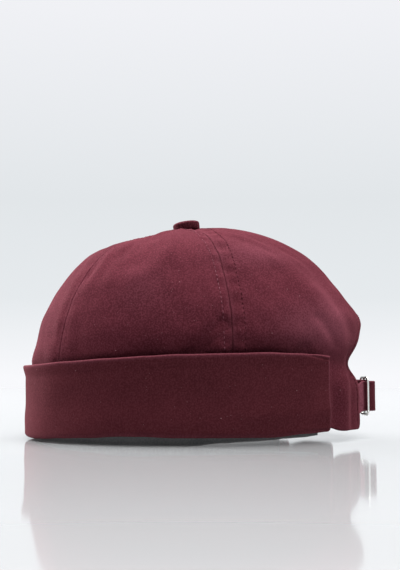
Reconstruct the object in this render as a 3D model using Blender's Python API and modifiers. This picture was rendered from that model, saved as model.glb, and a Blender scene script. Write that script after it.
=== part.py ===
import math

import bmesh
import bpy

# Docker beanie: a brimless cap of five panels, with a turned-up cuff and an adjusting strap over an arched opening.
# Sizes are in metres. The front faces -Y, the wearer's left is +X, and the cap stands on z = 0.
# An azimuth is an angle in degrees round the cap, 0 at the front, 90 at the wearer's left and 180 at the back.

# Crown
FRONT_LENGTH = 0.0948      # from the button's axis to the crown's front
BACK_LENGTH = 0.1060       # from the button's axis to the crown's back
HALF_WIDTH = 0.0835
CROWN_TOP = 0.1287         # height of the crown's highest line
CLOTH = 0.0016             # wall of the panels
SEWN_GAP = 0.0003          # space between pieces that are sewn or lie together
APEX_HOLE = 0.0030         # radius of the hole under the button
FRONT_SEAM = 32.5          # azimuth of the seams beside the front panel
SIDE_SEAM = 103.5          # azimuth of the seams behind the side panels
SEAM_DIP = 0.0009          # how far the cloth is drawn in at a seam
SEAM_REACH = 0.0045        # how far from the seam it is drawn in
FOLD_DEPTH = 0.0060        # depth of a fold whose depth is 1 in the table

# Arched opening
ARCH_HALF_WIDTH = 0.0360
ARCH_SPRING = 0.0427       # height where the arch starts to curve
ARCH_TOP = 0.0717

# Cuff
CUFF_THICKNESS = 0.0022    # two layers of cloth
CUFF_END = 138.5           # azimuth where it ends on both sides
CUFF_HEIGHT = 0.0495       # greatest height of its top edge
CUFF_FLARE = 0.0026        # how far its top stands off the crown at the front
CUFF_ROLL = 0.0026         # outer radius of the fold
FOLD_LIFT = 0.0065         # greatest height of the fold over the surface

# Sweatband
SWEATBAND_WALL = 0.0014
SWEATBAND_HEIGHT = 0.0327
SWEATBAND_LIFT = 0.0045    # greatest height of its lower edge over the surface
SWEATBAND_END = 135.5      # azimuth where it ends on both sides
SWEATBAND_ROOM = 0.0005    # between it and the crown's wall

# Top button
BUTTON_RADIUS = 0.0081
BUTTON_HEIGHT = 0.0060
BUTTON_TILT = 8.7          # degrees, the front is the lower
BUTTON_EDGE = 0.0023       # height of the button's edge, below its dome
BUTTON_UNDERCUT = 0.0003   # how far its underside is drawn in
STEM_RADIUS = 0.0018
STEM_LENGTH = 0.0050

# Strap, tab and slide buckle
STRAP_WIDTH = 0.0180
STRAP_THICKNESS = 0.0014
STRAP_LOW_EDGE = 0.0161    # height of the strap's lower edge
STRAP_SLACK = 0.0014       # how loosely it lies over the tab's loop
STRAP_DROOP = 0.0045       # how far its free end has sunk
STRAP_ROOM = 0.0016        # between the strap and the panels that it lies behind
TAB_THICKNESS = 0.0012     # one layer of the tab
TAB_RISE = 0.0008          # how much higher than the strap the tab sits
WIRE = 0.0020              # diameter of the buckle's wire
SLOT_ROOM = 0.0015         # spare room in each of the buckle's slots
RAIL_ROOM = 0.0011         # between the strap's edge and the buckle's rails
BUCKLE_CORNER = 0.0030     # radius of the frame's corners
BUCKLE_X = 0.0150          # place of the buckle's middle bar
BUCKLE_STAND = 0.0022      # how far behind the crown's outline it stands

# Exponents of the outline's two halves, 2 for an ellipse, and of the button's dome, 1 for an ellipse.
SQUARENESS = {"front": 2.05, "back": 2.30, "dome": 0.75}

# Degrees: the azimuth where strap and tab are sewn in, that of the strap's free end behind the left panel, how far
# round before the panel's edge both have their inner place, the strap's rise as it reaches the far bar, and by how
# much the tab's two layers close in behind the middle bar.
STRAP_TURNS = {"root": 146.0, "tip": 149.0, "margin": 1.0, "arrival": 2.0, "spread": 22.0}

# The crown's profile at its front, side and back: how far out, as a share of the way from the apex hole to
# the outline, and how far up, as a share of the way from the rim to CROWN_TOP.
PROFILE_COLUMNS = ("front_out", "front_up", "side_out", "side_up", "back_out", "back_up")
PROFILE = (
    (1.000, 0.000, 1.000, 0.000, 1.000, 0.000),
    (1.000, 0.180, 1.000, 0.180, 1.000, 0.180),
    (0.993, 0.350, 0.998, 0.350, 0.990, 0.350),
    (0.961, 0.447, 0.984, 0.448, 0.981, 0.447),
    (0.928, 0.535, 0.956, 0.541, 0.966, 0.537),
    (0.873, 0.622, 0.905, 0.632, 0.914, 0.625),
    (0.800, 0.711, 0.830, 0.722, 0.834, 0.708),
    (0.708, 0.792, 0.735, 0.803, 0.755, 0.790),
    (0.603, 0.855, 0.612, 0.862, 0.664, 0.855),
    (0.470, 0.901, 0.480, 0.907, 0.560, 0.908),
    (0.312, 0.937, 0.340, 0.943, 0.427, 0.958),
    (0.145, 0.969, 0.175, 0.973, 0.262, 0.994),
    (0.000, 0.988, 0.000, 0.990, 0.000, 0.992),
)

# Folds and swells: azimuth and reach round the cap in degrees, height and reach up as shares of the crown's
# height, and depth as a share of FOLD_DEPTH, negative where the cloth swells out.
FOLD_COLUMNS = ("azimuth", "around", "height", "tall", "depth")
FOLDS = (
    (160.0, 11.0, 0.310, 0.045, 0.92),
    (-160.0, 11.0, 0.310, 0.045, 0.92),
    (180.0, 14.0, 0.516, 0.057, -0.60),
    (91.0, 6.0, 0.403, 0.040, 0.42),
    (114.0, 5.0, 0.404, 0.040, 0.36),
    (129.0, 5.0, 0.393, 0.040, 0.34),
    (72.0, 5.0, 0.379, 0.025, 0.20),
    (55.0, 15.0, 0.799, 0.060, -0.20),
    (-84.0, 7.0, 0.399, 0.040, 0.40),
    (-110.0, 6.0, 0.409, 0.045, 0.38),
    (-131.0, 5.0, 0.393, 0.040, 0.30),
    (-62.0, 6.0, 0.385, 0.030, 0.22),
)

# How far the cuff stands off the crown, as a share of CUFF_FLARE, at shares of its height.
CUFF_COLUMNS = ("height", "front", "side", "end")
CUFF_STAND = (
    (0.00, 0.45, 0.20, 0.20),
    (0.15, 0.50, 0.22, 0.22),
    (0.45, 0.12, 0.06, 0.06),
    (0.80, 0.40, 0.12, 0.12),
    (1.00, 1.00, 0.36, 0.30),
)

# How far the fold lies over the surface, as a share of FOLD_LIFT, at azimuths from the front to either side.
LIFT = (
    (0.0, 0.19),
    (17.0, 0.19),
    (26.0, 0.27),
    (36.0, 0.43),
    (48.0, 0.55),
    (62.0, 0.74),
    (70.0, 0.75),
    (82.0, 0.66),
    (108.0, 0.65),
    (116.0, 0.63),
    (130.0, 0.88),
    (138.0, 0.98),
    (147.0, 0.57),
    (180.0, 0.57),
)

# Height of the cuff's top edge, as a share of CUFF_HEIGHT, at azimuths from the front to either side.
CUFF_EDGE = (
    (0.0, 0.873),
    (20.0, 0.885),
    (40.0, 0.907),
    (57.0, 0.938),
    (72.0, 0.965),
    (85.0, 0.982),
    (95.0, 0.986),
    (105.0, 0.996),
    (115.0, 1.000),
    (125.0, 0.996),
    (132.0, 0.987),
    (140.0, 0.976),
)

# How far the sweatband's lower edge is off the surface, as a share of SWEATBAND_LIFT, at azimuths from the
# wearer's right round the front to the left, where it lifts towards its end.
SWEATBAND_EDGE = (
    (-180.0, 0.00),
    (88.0, 0.00),
    (99.0, 0.28),
    (111.0, 0.47),
    (117.0, 0.56),
    (123.0, 0.73),
    (129.0, 0.80),
    (136.0, 1.00),
)


def clear_scene():
    for thing in list(bpy.data.objects):
        bpy.data.objects.remove(thing, do_unlink=True)


def new_collection(name):
    collection = bpy.data.collections.new(name)
    bpy.context.scene.collection.children.link(collection)
    return collection


def material(name, colour, roughness, metallic):
    made = bpy.data.materials.new(name)
    made.use_nodes = True
    shader = made.node_tree.nodes["Principled BSDF"]
    shader.inputs["Base Color"].default_value = (*colour, 1.0)
    shader.inputs["Roughness"].default_value = roughness
    shader.inputs["Metallic"].default_value = metallic
    made.diffuse_color = (*colour, 1.0)
    return made


def burgundy(name):
    return material(name, (0.112, 0.018, 0.032), 0.85, 0.0)


def add_object(name, mesh, look, collection, parent):
    made = bpy.data.objects.new(name, mesh)
    made.data.materials.append(look)
    made.parent = parent
    collection.objects.link(made)
    return made


def between(rows, place, column):
    # Catmull-Rom curve through one column of a table whose rows are evenly spaced, place from 0 to 1
    spot = min(max(place, 0.0), 1.0) * (len(rows) - 1)
    low = min(int(spot), len(rows) - 2)
    part = spot - low
    before, start, end, after = (rows[min(max(low + step, 0), len(rows) - 1)][column] for step in (-1, 0, 1, 2))
    slope_start = (end - before) / 2
    slope_end = (after - start) / 2
    return (
        (2 * part**3 - 3 * part**2 + 1) * start
        + (part**3 - 2 * part**2 + part) * slope_start
        + (3 * part**2 - 2 * part**3) * end
        + (part**3 - part**2) * slope_end
    )


def look_up(rows, key, column):
    # value of a column where the first column equals key, eased from row to row
    for lower, upper in zip(rows, rows[1:]):
        if key <= upper[0]:
            part = (key - lower[0]) / (upper[0] - lower[0])
            eased = part * part * (3.0 - 2.0 * part)
            return lower[column] + eased * (upper[column] - lower[column])
    return rows[-1][column]


def direction(azimuth):
    turn = math.radians(azimuth)
    return math.sin(turn), -math.cos(turn)


def turn_between(azimuth, other):
    return (azimuth - other + 180.0) % 360.0 - 180.0


def frontness(azimuth):
    # 1 at the front and 0 from the side to the back
    return max(math.cos(math.radians(azimuth)), 0.0) ** 2


def backness(azimuth):
    return max(-math.cos(math.radians(azimuth)), 0.0) ** 2


def outline_radius(azimuth):
    # superellipse round the button's axis
    across, along = (abs(share) for share in direction(azimuth))
    behind = abs(turn_between(azimuth, 0.0)) > 90.0
    power = SQUARENESS["back"] if behind else SQUARENESS["front"]
    length = BACK_LENGTH if behind else FRONT_LENGTH
    return ((across / HALF_WIDTH) ** power + (along / length) ** power) ** (-1.0 / power)


def wall_point(azimuth, inset):
    # point of the outline moved inwards, square to it
    step = 0.05
    ahead, here, behind = (
        [outline_radius(angle) * share for share in direction(angle)]
        for angle in (azimuth + step, azimuth, azimuth - step)
    )
    along_x = ahead[0] - behind[0]
    along_y = ahead[1] - behind[1]
    size = math.hypot(along_x, along_y)
    return here[0] - along_y / size * inset, here[1] + along_x / size * inset


def fold_lift(azimuth):
    return FOLD_LIFT * look_up(LIFT, abs(turn_between(azimuth, 0.0)), 1)


def rim_height(azimuth):
    # the crown's lower edge rests in the cuff's fold
    return fold_lift(azimuth) + CUFF_THICKNESS + SEWN_GAP


def profile_point(azimuth, rise):
    # how far out and how high the smooth crown is, rise from 0 at the rim to 1 at the apex hole
    front = frontness(azimuth)
    back = backness(azimuth)
    shares = {name: between(PROFILE, rise, column) for column, name in enumerate(PROFILE_COLUMNS)}
    weights = {"front": front, "side": 1.0 - front - back, "back": back}
    out = sum(weight * shares[f"{place}_out"] for place, weight in weights.items())
    up = sum(weight * shares[f"{place}_up"] for place, weight in weights.items())
    low = rim_height(azimuth)
    return APEX_HOLE + (outline_radius(azimuth) - APEX_HOLE) * out, low + (CROWN_TOP - low) * up


def fold_depth(azimuth, height):
    # sum of bell-shaped folds, positive inwards
    up = (height - rim_height(azimuth)) / (CROWN_TOP - rim_height(azimuth))
    total = 0.0
    for row in FOLDS:
        fold = dict(zip(FOLD_COLUMNS, row))
        around = turn_between(azimuth, fold["azimuth"]) / fold["around"]
        tall = (up - fold["height"]) / fold["tall"]
        total += fold["depth"] * math.exp(-(around**2 + tall**2) / 2)
    return FOLD_DEPTH * total


def cuff_top(azimuth):
    return CUFF_HEIGHT * look_up(CUFF_EDGE, abs(azimuth), 1)


def seam_depth(azimuth, radius, height):
    # the cloth is drawn in along the seams, from the sweatband upwards
    seams = (FRONT_SEAM, -FRONT_SEAM, SIDE_SEAM, -SIDE_SEAM, 180.0)
    nearest = min(abs(turn_between(azimuth, seam)) for seam in seams)
    grown = min(max((height - SWEATBAND_HEIGHT) / (cuff_top(0.0) - SWEATBAND_HEIGHT), 0.0), 1.0)
    return SEAM_DIP * grown * math.exp(-((math.radians(nearest) * radius / SEAM_REACH) ** 2))


def crown_point(azimuth, rise):
    radius, height = profile_point(azimuth, rise)
    step = 0.01
    upper = profile_point(azimuth, min(rise + step, 1.0))
    lower = profile_point(azimuth, max(rise - step, 0.0))
    steepness = math.atan2(upper[1] - lower[1], lower[0] - upper[0])
    depth = fold_depth(azimuth, height) + seam_depth(azimuth, radius, height)
    radius -= depth * math.sin(steepness)
    height -= depth * math.cos(steepness)
    across, along = direction(azimuth)
    return radius * across, radius * along, height


def sheet(name, across, up, place):
    # an open grid, its points moved to place(u, v) with u and v from 0 to 1
    mesh = bpy.data.meshes.new(name)
    grid = bmesh.new()
    bmesh.ops.create_grid(grid, x_segments=across, y_segments=up, size=1.0)
    for point in grid.verts:
        point.co = place((point.co.x + 1.0) / 2.0, (point.co.y + 1.0) / 2.0)
    grid.to_mesh(mesh)
    grid.free()
    mesh.shade_smooth()
    return mesh


def thicken(thing, thickness, offset):
    solid = thing.modifiers.new("Thickness", "SOLIDIFY")
    solid.thickness = thickness
    solid.offset = offset


def make_panel(name, start, end, columns, rows, collection, parent):
    def place(across, rise):
        # columns crowd towards the seams, and the edges keep half a sewn gap from them
        crowded = 0.5 - 0.5 * math.cos(math.pi * across)
        share = (across + crowded) / 2.0
        margin = math.degrees(SEWN_GAP / 2.0 / profile_point((start + end) / 2.0, rise)[0])
        return crown_point(start + margin + share * (end - start - 2.0 * margin), rise)

    panel = add_object(name, sheet(name, columns, rows, place), burgundy(f"{name}_twill"), collection, parent)
    thicken(panel, CLOTH, -1.0)
    return panel


def outline_curve(name, points, half_depth):
    curve = bpy.data.curves.new(name, "CURVE")
    curve.dimensions = "2D"
    curve.fill_mode = "BOTH"
    curve.extrude = half_depth
    spline = curve.splines.new("POLY")
    spline.points.add(len(points) - 1)
    for point, (across, up) in zip(spline.points, points):
        point.co = (across, up, 0.0, 1.0)
    spline.use_cyclic_u = True
    return curve


def curve_to_mesh(thing, name, collection, parent):
    # a curve takes no Boolean, so it becomes a mesh with its caps welded
    bpy.context.view_layer.update()
    evaluated = thing.evaluated_get(bpy.context.evaluated_depsgraph_get())
    mesh = bpy.data.meshes.new_from_object(evaluated)
    mesh.name = name
    weld = bmesh.new()
    weld.from_mesh(mesh)
    bmesh.ops.remove_doubles(weld, verts=weld.verts, dist=0.00001)
    bmesh.ops.recalc_face_normals(weld, faces=weld.faces)
    weld.to_mesh(mesh)
    weld.free()
    made = bpy.data.objects.new(name, mesh)
    made.matrix_world = thing.matrix_world
    made.parent = parent
    collection.objects.link(made)
    bpy.data.objects.remove(thing, do_unlink=True)
    return made


def hide_cutter(cutter):
    cutter.hide_render = True
    cutter.display_type = "WIRE"


def combine(thing, other, operation):
    cut = thing.modifiers.new(other.name, "BOOLEAN")
    cut.operation = operation
    cut.solver = "EXACT"
    cut.object = other


def arch_outline():
    # straight sides from below the rim up to the spring line, then half an ellipse
    steps = 16
    points = [(ARCH_HALF_WIDTH, -ARCH_SPRING)]
    for step in range(steps + 1):
        turn = math.pi * step / steps
        rise = (ARCH_TOP - ARCH_SPRING) * math.sin(turn)
        points.append((ARCH_HALF_WIDTH * math.cos(turn), ARCH_SPRING + rise))
    points.append((-ARCH_HALF_WIDTH, -ARCH_SPRING))
    return points


def make_arch_cutter(cutters, parent):
    curve = outline_curve("arch_outline", arch_outline(), BACK_LENGTH / 2.0)
    outline = bpy.data.objects.new("arch_outline", curve)
    outline.location = (0.0, BACK_LENGTH, 0.0)
    outline.rotation_euler = (math.radians(90.0), 0.0, 0.0)
    cutters.objects.link(outline)
    cutter = curve_to_mesh(outline, "arch_cutter", cutters, parent)
    hide_cutter(cutter)
    return cutter


def make_crown(collection, cutters, parent):
    make_panel("front_panel", -FRONT_SEAM, FRONT_SEAM, 12, 22, collection, parent)
    make_panel("left_side_panel", FRONT_SEAM, SIDE_SEAM, 13, 22, collection, parent)
    make_panel("right_side_panel", -SIDE_SEAM, -FRONT_SEAM, 13, 22, collection, parent)
    left = make_panel("left_back_panel", SIDE_SEAM, 180.0, 15, 24, collection, parent)
    right = make_panel("right_back_panel", -180.0, -SIDE_SEAM, 15, 24, collection, parent)
    cutter = make_arch_cutter(cutters, parent)
    combine(left, cutter, "DIFFERENCE")
    combine(right, cutter, "DIFFERENCE")


def cuff_stand(azimuth, height):
    front = frontness(azimuth)
    end = max((abs(azimuth) - 90.0) / (CUFF_END - 90.0), 0.0) ** 2
    weights = {"front": front, "side": 1.0 - front - end, "end": end}
    columns = {name: column for column, name in enumerate(CUFF_COLUMNS)}
    shares = (weight * look_up(CUFF_STAND, height, columns[place]) for place, weight in weights.items())
    return SEWN_GAP + CUFF_FLARE * sum(shares)


def make_cuff(collection, parent):
    # the section's outer line: under the crown's edge, round the fold and up the outside
    foot_steps = 1
    roll_steps = 5
    wall_steps = 7
    steps = foot_steps + roll_steps + wall_steps

    def place(across, along):
        azimuth = CUFF_END * (2.0 * across - 1.0)
        low = fold_lift(azimuth)
        spot = along * steps
        if spot <= foot_steps:
            turn = 0.0
            share = 0.0
        elif spot <= foot_steps + roll_steps:
            turn = math.pi / 2.0 * (spot - foot_steps) / roll_steps
            share = 0.0
        else:
            turn = math.pi / 2.0
            share = (spot - foot_steps - roll_steps) / wall_steps
        face = cuff_stand(azimuth, share) + CUFF_THICKNESS
        out = face - CUFF_ROLL * (1.0 - math.sin(turn))
        if spot < foot_steps:
            out = -CLOTH + (out + CLOTH) * spot / foot_steps
        height = low + CUFF_ROLL * (1.0 - math.cos(turn))
        height += share * (cuff_top(azimuth) - low - CUFF_ROLL)
        flat_x, flat_y = wall_point(azimuth, -out)
        return flat_x, flat_y, height

    cuff = add_object("cuff", sheet("cuff", 46, steps, place), burgundy("cuff_twill"), collection, parent)
    thicken(cuff, CUFF_THICKNESS, -1.0)


def make_sweatband(collection, parent):
    # a strip standing inside the crown, open at the back
    def place(across, up):
        azimuth = SWEATBAND_END * (2.0 * across - 1.0)
        low = SWEATBAND_LIFT * look_up(SWEATBAND_EDGE, azimuth, 1)
        flat_x, flat_y = wall_point(azimuth, CLOTH + SWEATBAND_ROOM)
        return flat_x, flat_y, low + (SWEATBAND_HEIGHT - low) * up

    look = material("sweatband_cotton", (0.022, 0.023, 0.024), 0.9, 0.0)
    band = add_object("sweatband", sheet("sweatband", 46, 2, place), look, collection, parent)
    thicken(band, SWEATBAND_WALL, -1.0)


def button_seat():
    # the lowest height at which the tilted button clears the crown all round
    slope = math.tan(math.radians(BUTTON_TILT))
    seat = 0.0
    for azimuth in range(0, 360, 15):
        for step in range(21):
            across, along, height = crown_point(azimuth, 1.0 - 0.01 * step)
            if math.hypot(across, along) < BUTTON_RADIUS:
                seat = max(seat, height - slope * along)
    return seat + SEWN_GAP


def make_button(collection, parent):
    # a domed profile turned round the axis, with a stem through the apex hole
    dome_steps = 8
    points = []
    for step in range(dome_steps + 1):
        turn = math.pi / 2.0 * step / dome_steps
        height = BUTTON_EDGE + (BUTTON_HEIGHT - BUTTON_EDGE) * math.cos(turn)
        points.append((BUTTON_RADIUS * math.sin(turn) ** SQUARENESS["dome"], height))
    points.append((BUTTON_RADIUS - BUTTON_UNDERCUT, 0.0))
    points.append((STEM_RADIUS, 0.0))
    points.append((STEM_RADIUS, -STEM_LENGTH))
    points.append((0.0, -STEM_LENGTH))
    mesh = bpy.data.meshes.new("top_button")
    mesh.from_pydata([(out, 0.0, up) for out, up in points], [(i, i + 1) for i in range(len(points) - 1)], [])
    button = add_object("top_button", mesh, burgundy("top_button_twill"), collection, parent)
    button.location = (0.0, 0.0, button_seat())
    button.rotation_euler = (math.radians(BUTTON_TILT), 0.0, 0.0)
    turned = button.modifiers.new("Turn", "SCREW")
    turned.steps = 24
    turned.render_steps = 24
    turned.use_merge_vertices = True
    turned.merge_threshold = 0.00001


def arc(centre, radius, side, start, end, steps):
    # a path's bend round a bar; side is 1 with the bar on the path's left and -1 with it on its right
    points = []
    for step in range(steps + 1):
        heading = start + (end - start) * step / steps
        points.append(
            (centre[0] + side * radius * math.sin(heading), centre[1] - side * radius * math.cos(heading))
        )
    return points


def bend(start, start_heading, end, end_heading, steps):
    # Hermite curve between two points with a heading at each; both ends left out
    pull = math.dist(start, end)
    points = []
    for step in range(1, steps):
        part = step / steps
        from_start = 2 * part**3 - 3 * part**2 + 1
        leaving = (part**3 - 2 * part**2 + part) * pull
        from_end = 3 * part**2 - 2 * part**3
        arriving = (part**3 - part**2) * pull
        points.append(
            (
                from_start * start[0] + leaving * math.cos(start_heading)
                + from_end * end[0] + arriving * math.cos(end_heading),
                from_start * start[1] + leaving * math.sin(start_heading)
                + from_end * end[1] + arriving * math.sin(end_heading),
            )
        )
    return points


def wall_path(start, end, inset, steps):
    return [wall_point(start + (end - start) * step / steps, inset) for step in range(steps + 1)]


def heading_of(start, end):
    return math.atan2(end[1] - start[1], end[0] - start[0])


def azimuth_behind(across):
    # azimuth in the back half where the outline is so far across, found by halving
    low = 90.0
    high = 180.0
    for _ in range(40):
        middle = (low + high) / 2.0
        if outline_radius(middle) * direction(middle)[0] > across:
            low = middle
        else:
            high = middle
    return low


def corner_azimuth():
    # azimuth of the arch's lower corner
    return azimuth_behind(ARCH_HALF_WIDTH)


def buckle_place():
    # middle bar of the buckle, a little behind the crown's outline
    return BUCKLE_X, wall_point(azimuth_behind(BUCKLE_X), 0.0)[1] + BUCKLE_STAND


def wall_dent():
    # how far the panel's folds reach in at the strap's upper edge
    return max(fold_depth(corner_azimuth(), STRAP_LOW_EDGE + STRAP_WIDTH + TAB_RISE), 0.0)


def bar_radius():
    return WIRE / 2.0


def strap_round_bar():
    return bar_radius() + SEWN_GAP + STRAP_THICKNESS / 2.0


def tab_round_bar():
    return bar_radius() + SEWN_GAP + TAB_THICKNESS / 2.0


def strap_over_tab():
    return tab_round_bar() + TAB_THICKNESS / 2.0 + SEWN_GAP + STRAP_SLACK + STRAP_THICKNESS / 2.0


def bar_spacing():
    return strap_round_bar() + strap_over_tab() + SLOT_ROOM


def strap_inset():
    return CLOTH + STRAP_ROOM + wall_dent() + STRAP_THICKNESS / 2.0


def tab_outer_inset():
    return strap_inset() + STRAP_THICKNESS / 2.0 + SEWN_GAP + TAB_THICKNESS / 2.0


def tab_inner_inset():
    return tab_outer_inset() + TAB_THICKNESS + SEWN_GAP


def strap_path():
    # from its root in the right panel, under the far bar, over the tab's loop, under the near bar and
    # behind the left panel
    across, behind = buckle_place()
    far_bar, middle_bar, near_bar = ((across + side * bar_spacing(), behind) for side in (-1, 0, 1))
    steep = math.asin((strap_round_bar() + strap_over_tab()) / bar_spacing())
    inner_edge = corner_azimuth() + STRAP_TURNS["margin"]
    root = wall_path(-STRAP_TURNS["root"], -inner_edge, strap_inset(), 4)
    tip = wall_path(inner_edge, STRAP_TURNS["tip"], strap_inset(), 4)
    down = heading_of(near_bar, tip[0])
    arrival = math.radians(STRAP_TURNS["arrival"])
    under_far = arc(far_bar, strap_round_bar(), 1, arrival, steep, 4)
    over_middle = arc(middle_bar, strap_over_tab(), -1, steep, -steep, 8)
    under_near = arc(near_bar, strap_round_bar(), 1, -steep, down, 2)
    span = bend(root[-1], heading_of(root[-2], root[-1]), under_far[0], arrival, 8)
    tuck = bend(under_near[-1], down, tip[0], heading_of(tip[0], tip[1]), 4)
    return root + span + under_far + over_middle + under_near + tuck + tip


def tab_path():
    # one layer from the root to the middle bar, round it and back beside itself
    middle_bar = buckle_place()
    inner_edge = corner_azimuth() + STRAP_TURNS["margin"]
    outer = wall_path(STRAP_TURNS["root"], inner_edge, tab_outer_inset(), 4)
    inner = wall_path(inner_edge, STRAP_TURNS["root"], tab_inner_inset(), 4)
    leaving = heading_of(outer[-2], outer[-1])
    towards = heading_of(outer[-1], middle_bar)
    spread = math.radians(STRAP_TURNS["spread"])
    loop = arc(middle_bar, tab_round_bar(), 1, towards - spread, towards + spread + math.pi, 10)
    reach = bend(outer[-1], leaving, loop[0], towards - spread, 4)
    back = bend(loop[-1], towards + spread + math.pi, inner[0], heading_of(inner[0], inner[1]), 4)
    return outer + reach + loop + back + inner


def make_ribbon(name, path, low_edges, width, thickness, collection, parent):
    # a band standing on edge along a path, its lower edge at the given heights
    def place(along, across):
        step = round(along * (len(path) - 1))
        return path[step][0], path[step][1], low_edges[step] + width * across

    ribbon = add_object(name, sheet(name, len(path) - 1, 2, place), burgundy(f"{name}_twill"), collection, parent)
    thicken(ribbon, thickness, 0.0)


def droops(path):
    # the free end sinks with its way past the near bar
    near_bar = BUCKLE_X + bar_spacing()
    reach = path[-1][0] - near_bar
    return [STRAP_LOW_EDGE - STRAP_DROOP * max(point[0] - near_bar, 0.0) / reach for point in path]


def make_straps(collection, parent):
    path = strap_path()
    make_ribbon("long_strap", path, droops(path), STRAP_WIDTH, STRAP_THICKNESS, collection, parent)
    path = tab_path()
    level = [STRAP_LOW_EDGE + TAB_RISE] * len(path)
    make_ribbon("buckle_tab", path, level, STRAP_WIDTH, TAB_THICKNESS, collection, parent)


def make_buckle(collection, cutters, parent):
    # a wire frame with rounded corners, joined to its middle bar
    half_length = bar_spacing()
    half_height = STRAP_WIDTH / 2.0 + RAIL_ROOM + bar_radius()
    middle_height = STRAP_LOW_EDGE + STRAP_WIDTH / 2.0
    curve = bpy.data.curves.new("buckle_frame", "CURVE")
    curve.dimensions = "3D"
    curve.bevel_depth = bar_radius()
    curve.bevel_resolution = 3
    points = []
    corner_steps = 4
    for quarter in range(4):
        centre_turn = math.pi / 2.0 * quarter
        sign_x = (1, -1, -1, 1)[quarter]
        sign_z = (1, 1, -1, -1)[quarter]
        for step in range(corner_steps + 1):
            turn = centre_turn + math.pi / 2.0 * step / corner_steps
            points.append(
                (
                    sign_x * (half_length - BUCKLE_CORNER) + BUCKLE_CORNER * math.cos(turn),
                    sign_z * (half_height - BUCKLE_CORNER) + BUCKLE_CORNER * math.sin(turn),
                )
            )
    spline = curve.splines.new("POLY")
    spline.points.add(len(points) - 1)
    for point, (across, up) in zip(spline.points, points):
        point.co = (across, 0.0, up, 1.0)
    spline.use_cyclic_u = True
    frame = bpy.data.objects.new("buckle_frame", curve)
    frame.location = (*buckle_place(), middle_height)
    collection.objects.link(frame)
    buckle = curve_to_mesh(frame, "slide_buckle", collection, parent)
    buckle.data.materials.clear()
    buckle.data.materials.append(material("slide_buckle_nickel", (0.72, 0.72, 0.70), 0.25, 1.0))
    # the bar is a little thinner than the frame's wire, so that their faces don't lie on one another
    thinner = bar_radius() * 0.98
    bpy.ops.mesh.primitive_cylinder_add(vertices=12, radius=thinner, depth=2.0 * half_height)
    bar = bpy.context.object
    bar.name = "middle_bar"
    bar.location = (*buckle_place(), middle_height)
    bar.parent = parent
    for holder in list(bar.users_collection):
        holder.objects.unlink(bar)
    cutters.objects.link(bar)
    hide_cutter(bar)
    combine(buckle, bar, "UNION")


def centre_on_origin(root, collection):
    # the origin lies under the middle of the cap's box
    bpy.context.view_layer.update()
    graph = bpy.context.evaluated_depsgraph_get()
    spots = []
    for thing in collection.objects:
        if thing.type == "MESH":
            evaluated = thing.evaluated_get(graph)
            spots += [evaluated.matrix_world @ point.co for point in evaluated.data.vertices]
    middles = [(min(spot[axis] for spot in spots) + max(spot[axis] for spot in spots)) / 2.0 for axis in (0, 1)]
    root.location = (-middles[0], -middles[1], 0.0)


def main():
    clear_scene()
    collection = new_collection("docker_beanie")
    cutters = new_collection("cutters")
    root = bpy.data.objects.new("docker_beanie", None)
    collection.objects.link(root)
    make_crown(collection, cutters, root)
    make_cuff(collection, root)
    make_sweatband(collection, root)
    make_button(collection, root)
    make_straps(collection, root)
    make_buckle(collection, cutters, root)
    centre_on_origin(root, collection)


main()
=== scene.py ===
import math

import bpy
import numpy as np
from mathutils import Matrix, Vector


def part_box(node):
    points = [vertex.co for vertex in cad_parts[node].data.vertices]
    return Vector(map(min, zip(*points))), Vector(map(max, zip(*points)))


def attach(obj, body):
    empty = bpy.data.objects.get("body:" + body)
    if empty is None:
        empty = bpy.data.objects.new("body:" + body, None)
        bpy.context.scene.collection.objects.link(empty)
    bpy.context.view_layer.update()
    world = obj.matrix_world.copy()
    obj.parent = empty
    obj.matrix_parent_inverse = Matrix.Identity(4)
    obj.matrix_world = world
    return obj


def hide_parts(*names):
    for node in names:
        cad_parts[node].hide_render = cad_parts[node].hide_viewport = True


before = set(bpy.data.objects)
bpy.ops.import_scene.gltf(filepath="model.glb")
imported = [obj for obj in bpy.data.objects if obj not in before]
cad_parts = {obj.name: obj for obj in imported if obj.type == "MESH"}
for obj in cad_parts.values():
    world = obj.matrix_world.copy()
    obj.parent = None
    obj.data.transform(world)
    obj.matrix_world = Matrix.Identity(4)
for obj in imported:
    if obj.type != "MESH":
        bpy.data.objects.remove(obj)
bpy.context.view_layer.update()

apexY = -0.0065    # the button's axis in the part's frame
mm = 0.001
print("docker beanie: frame loaded,", len(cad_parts), "nodes")

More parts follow.
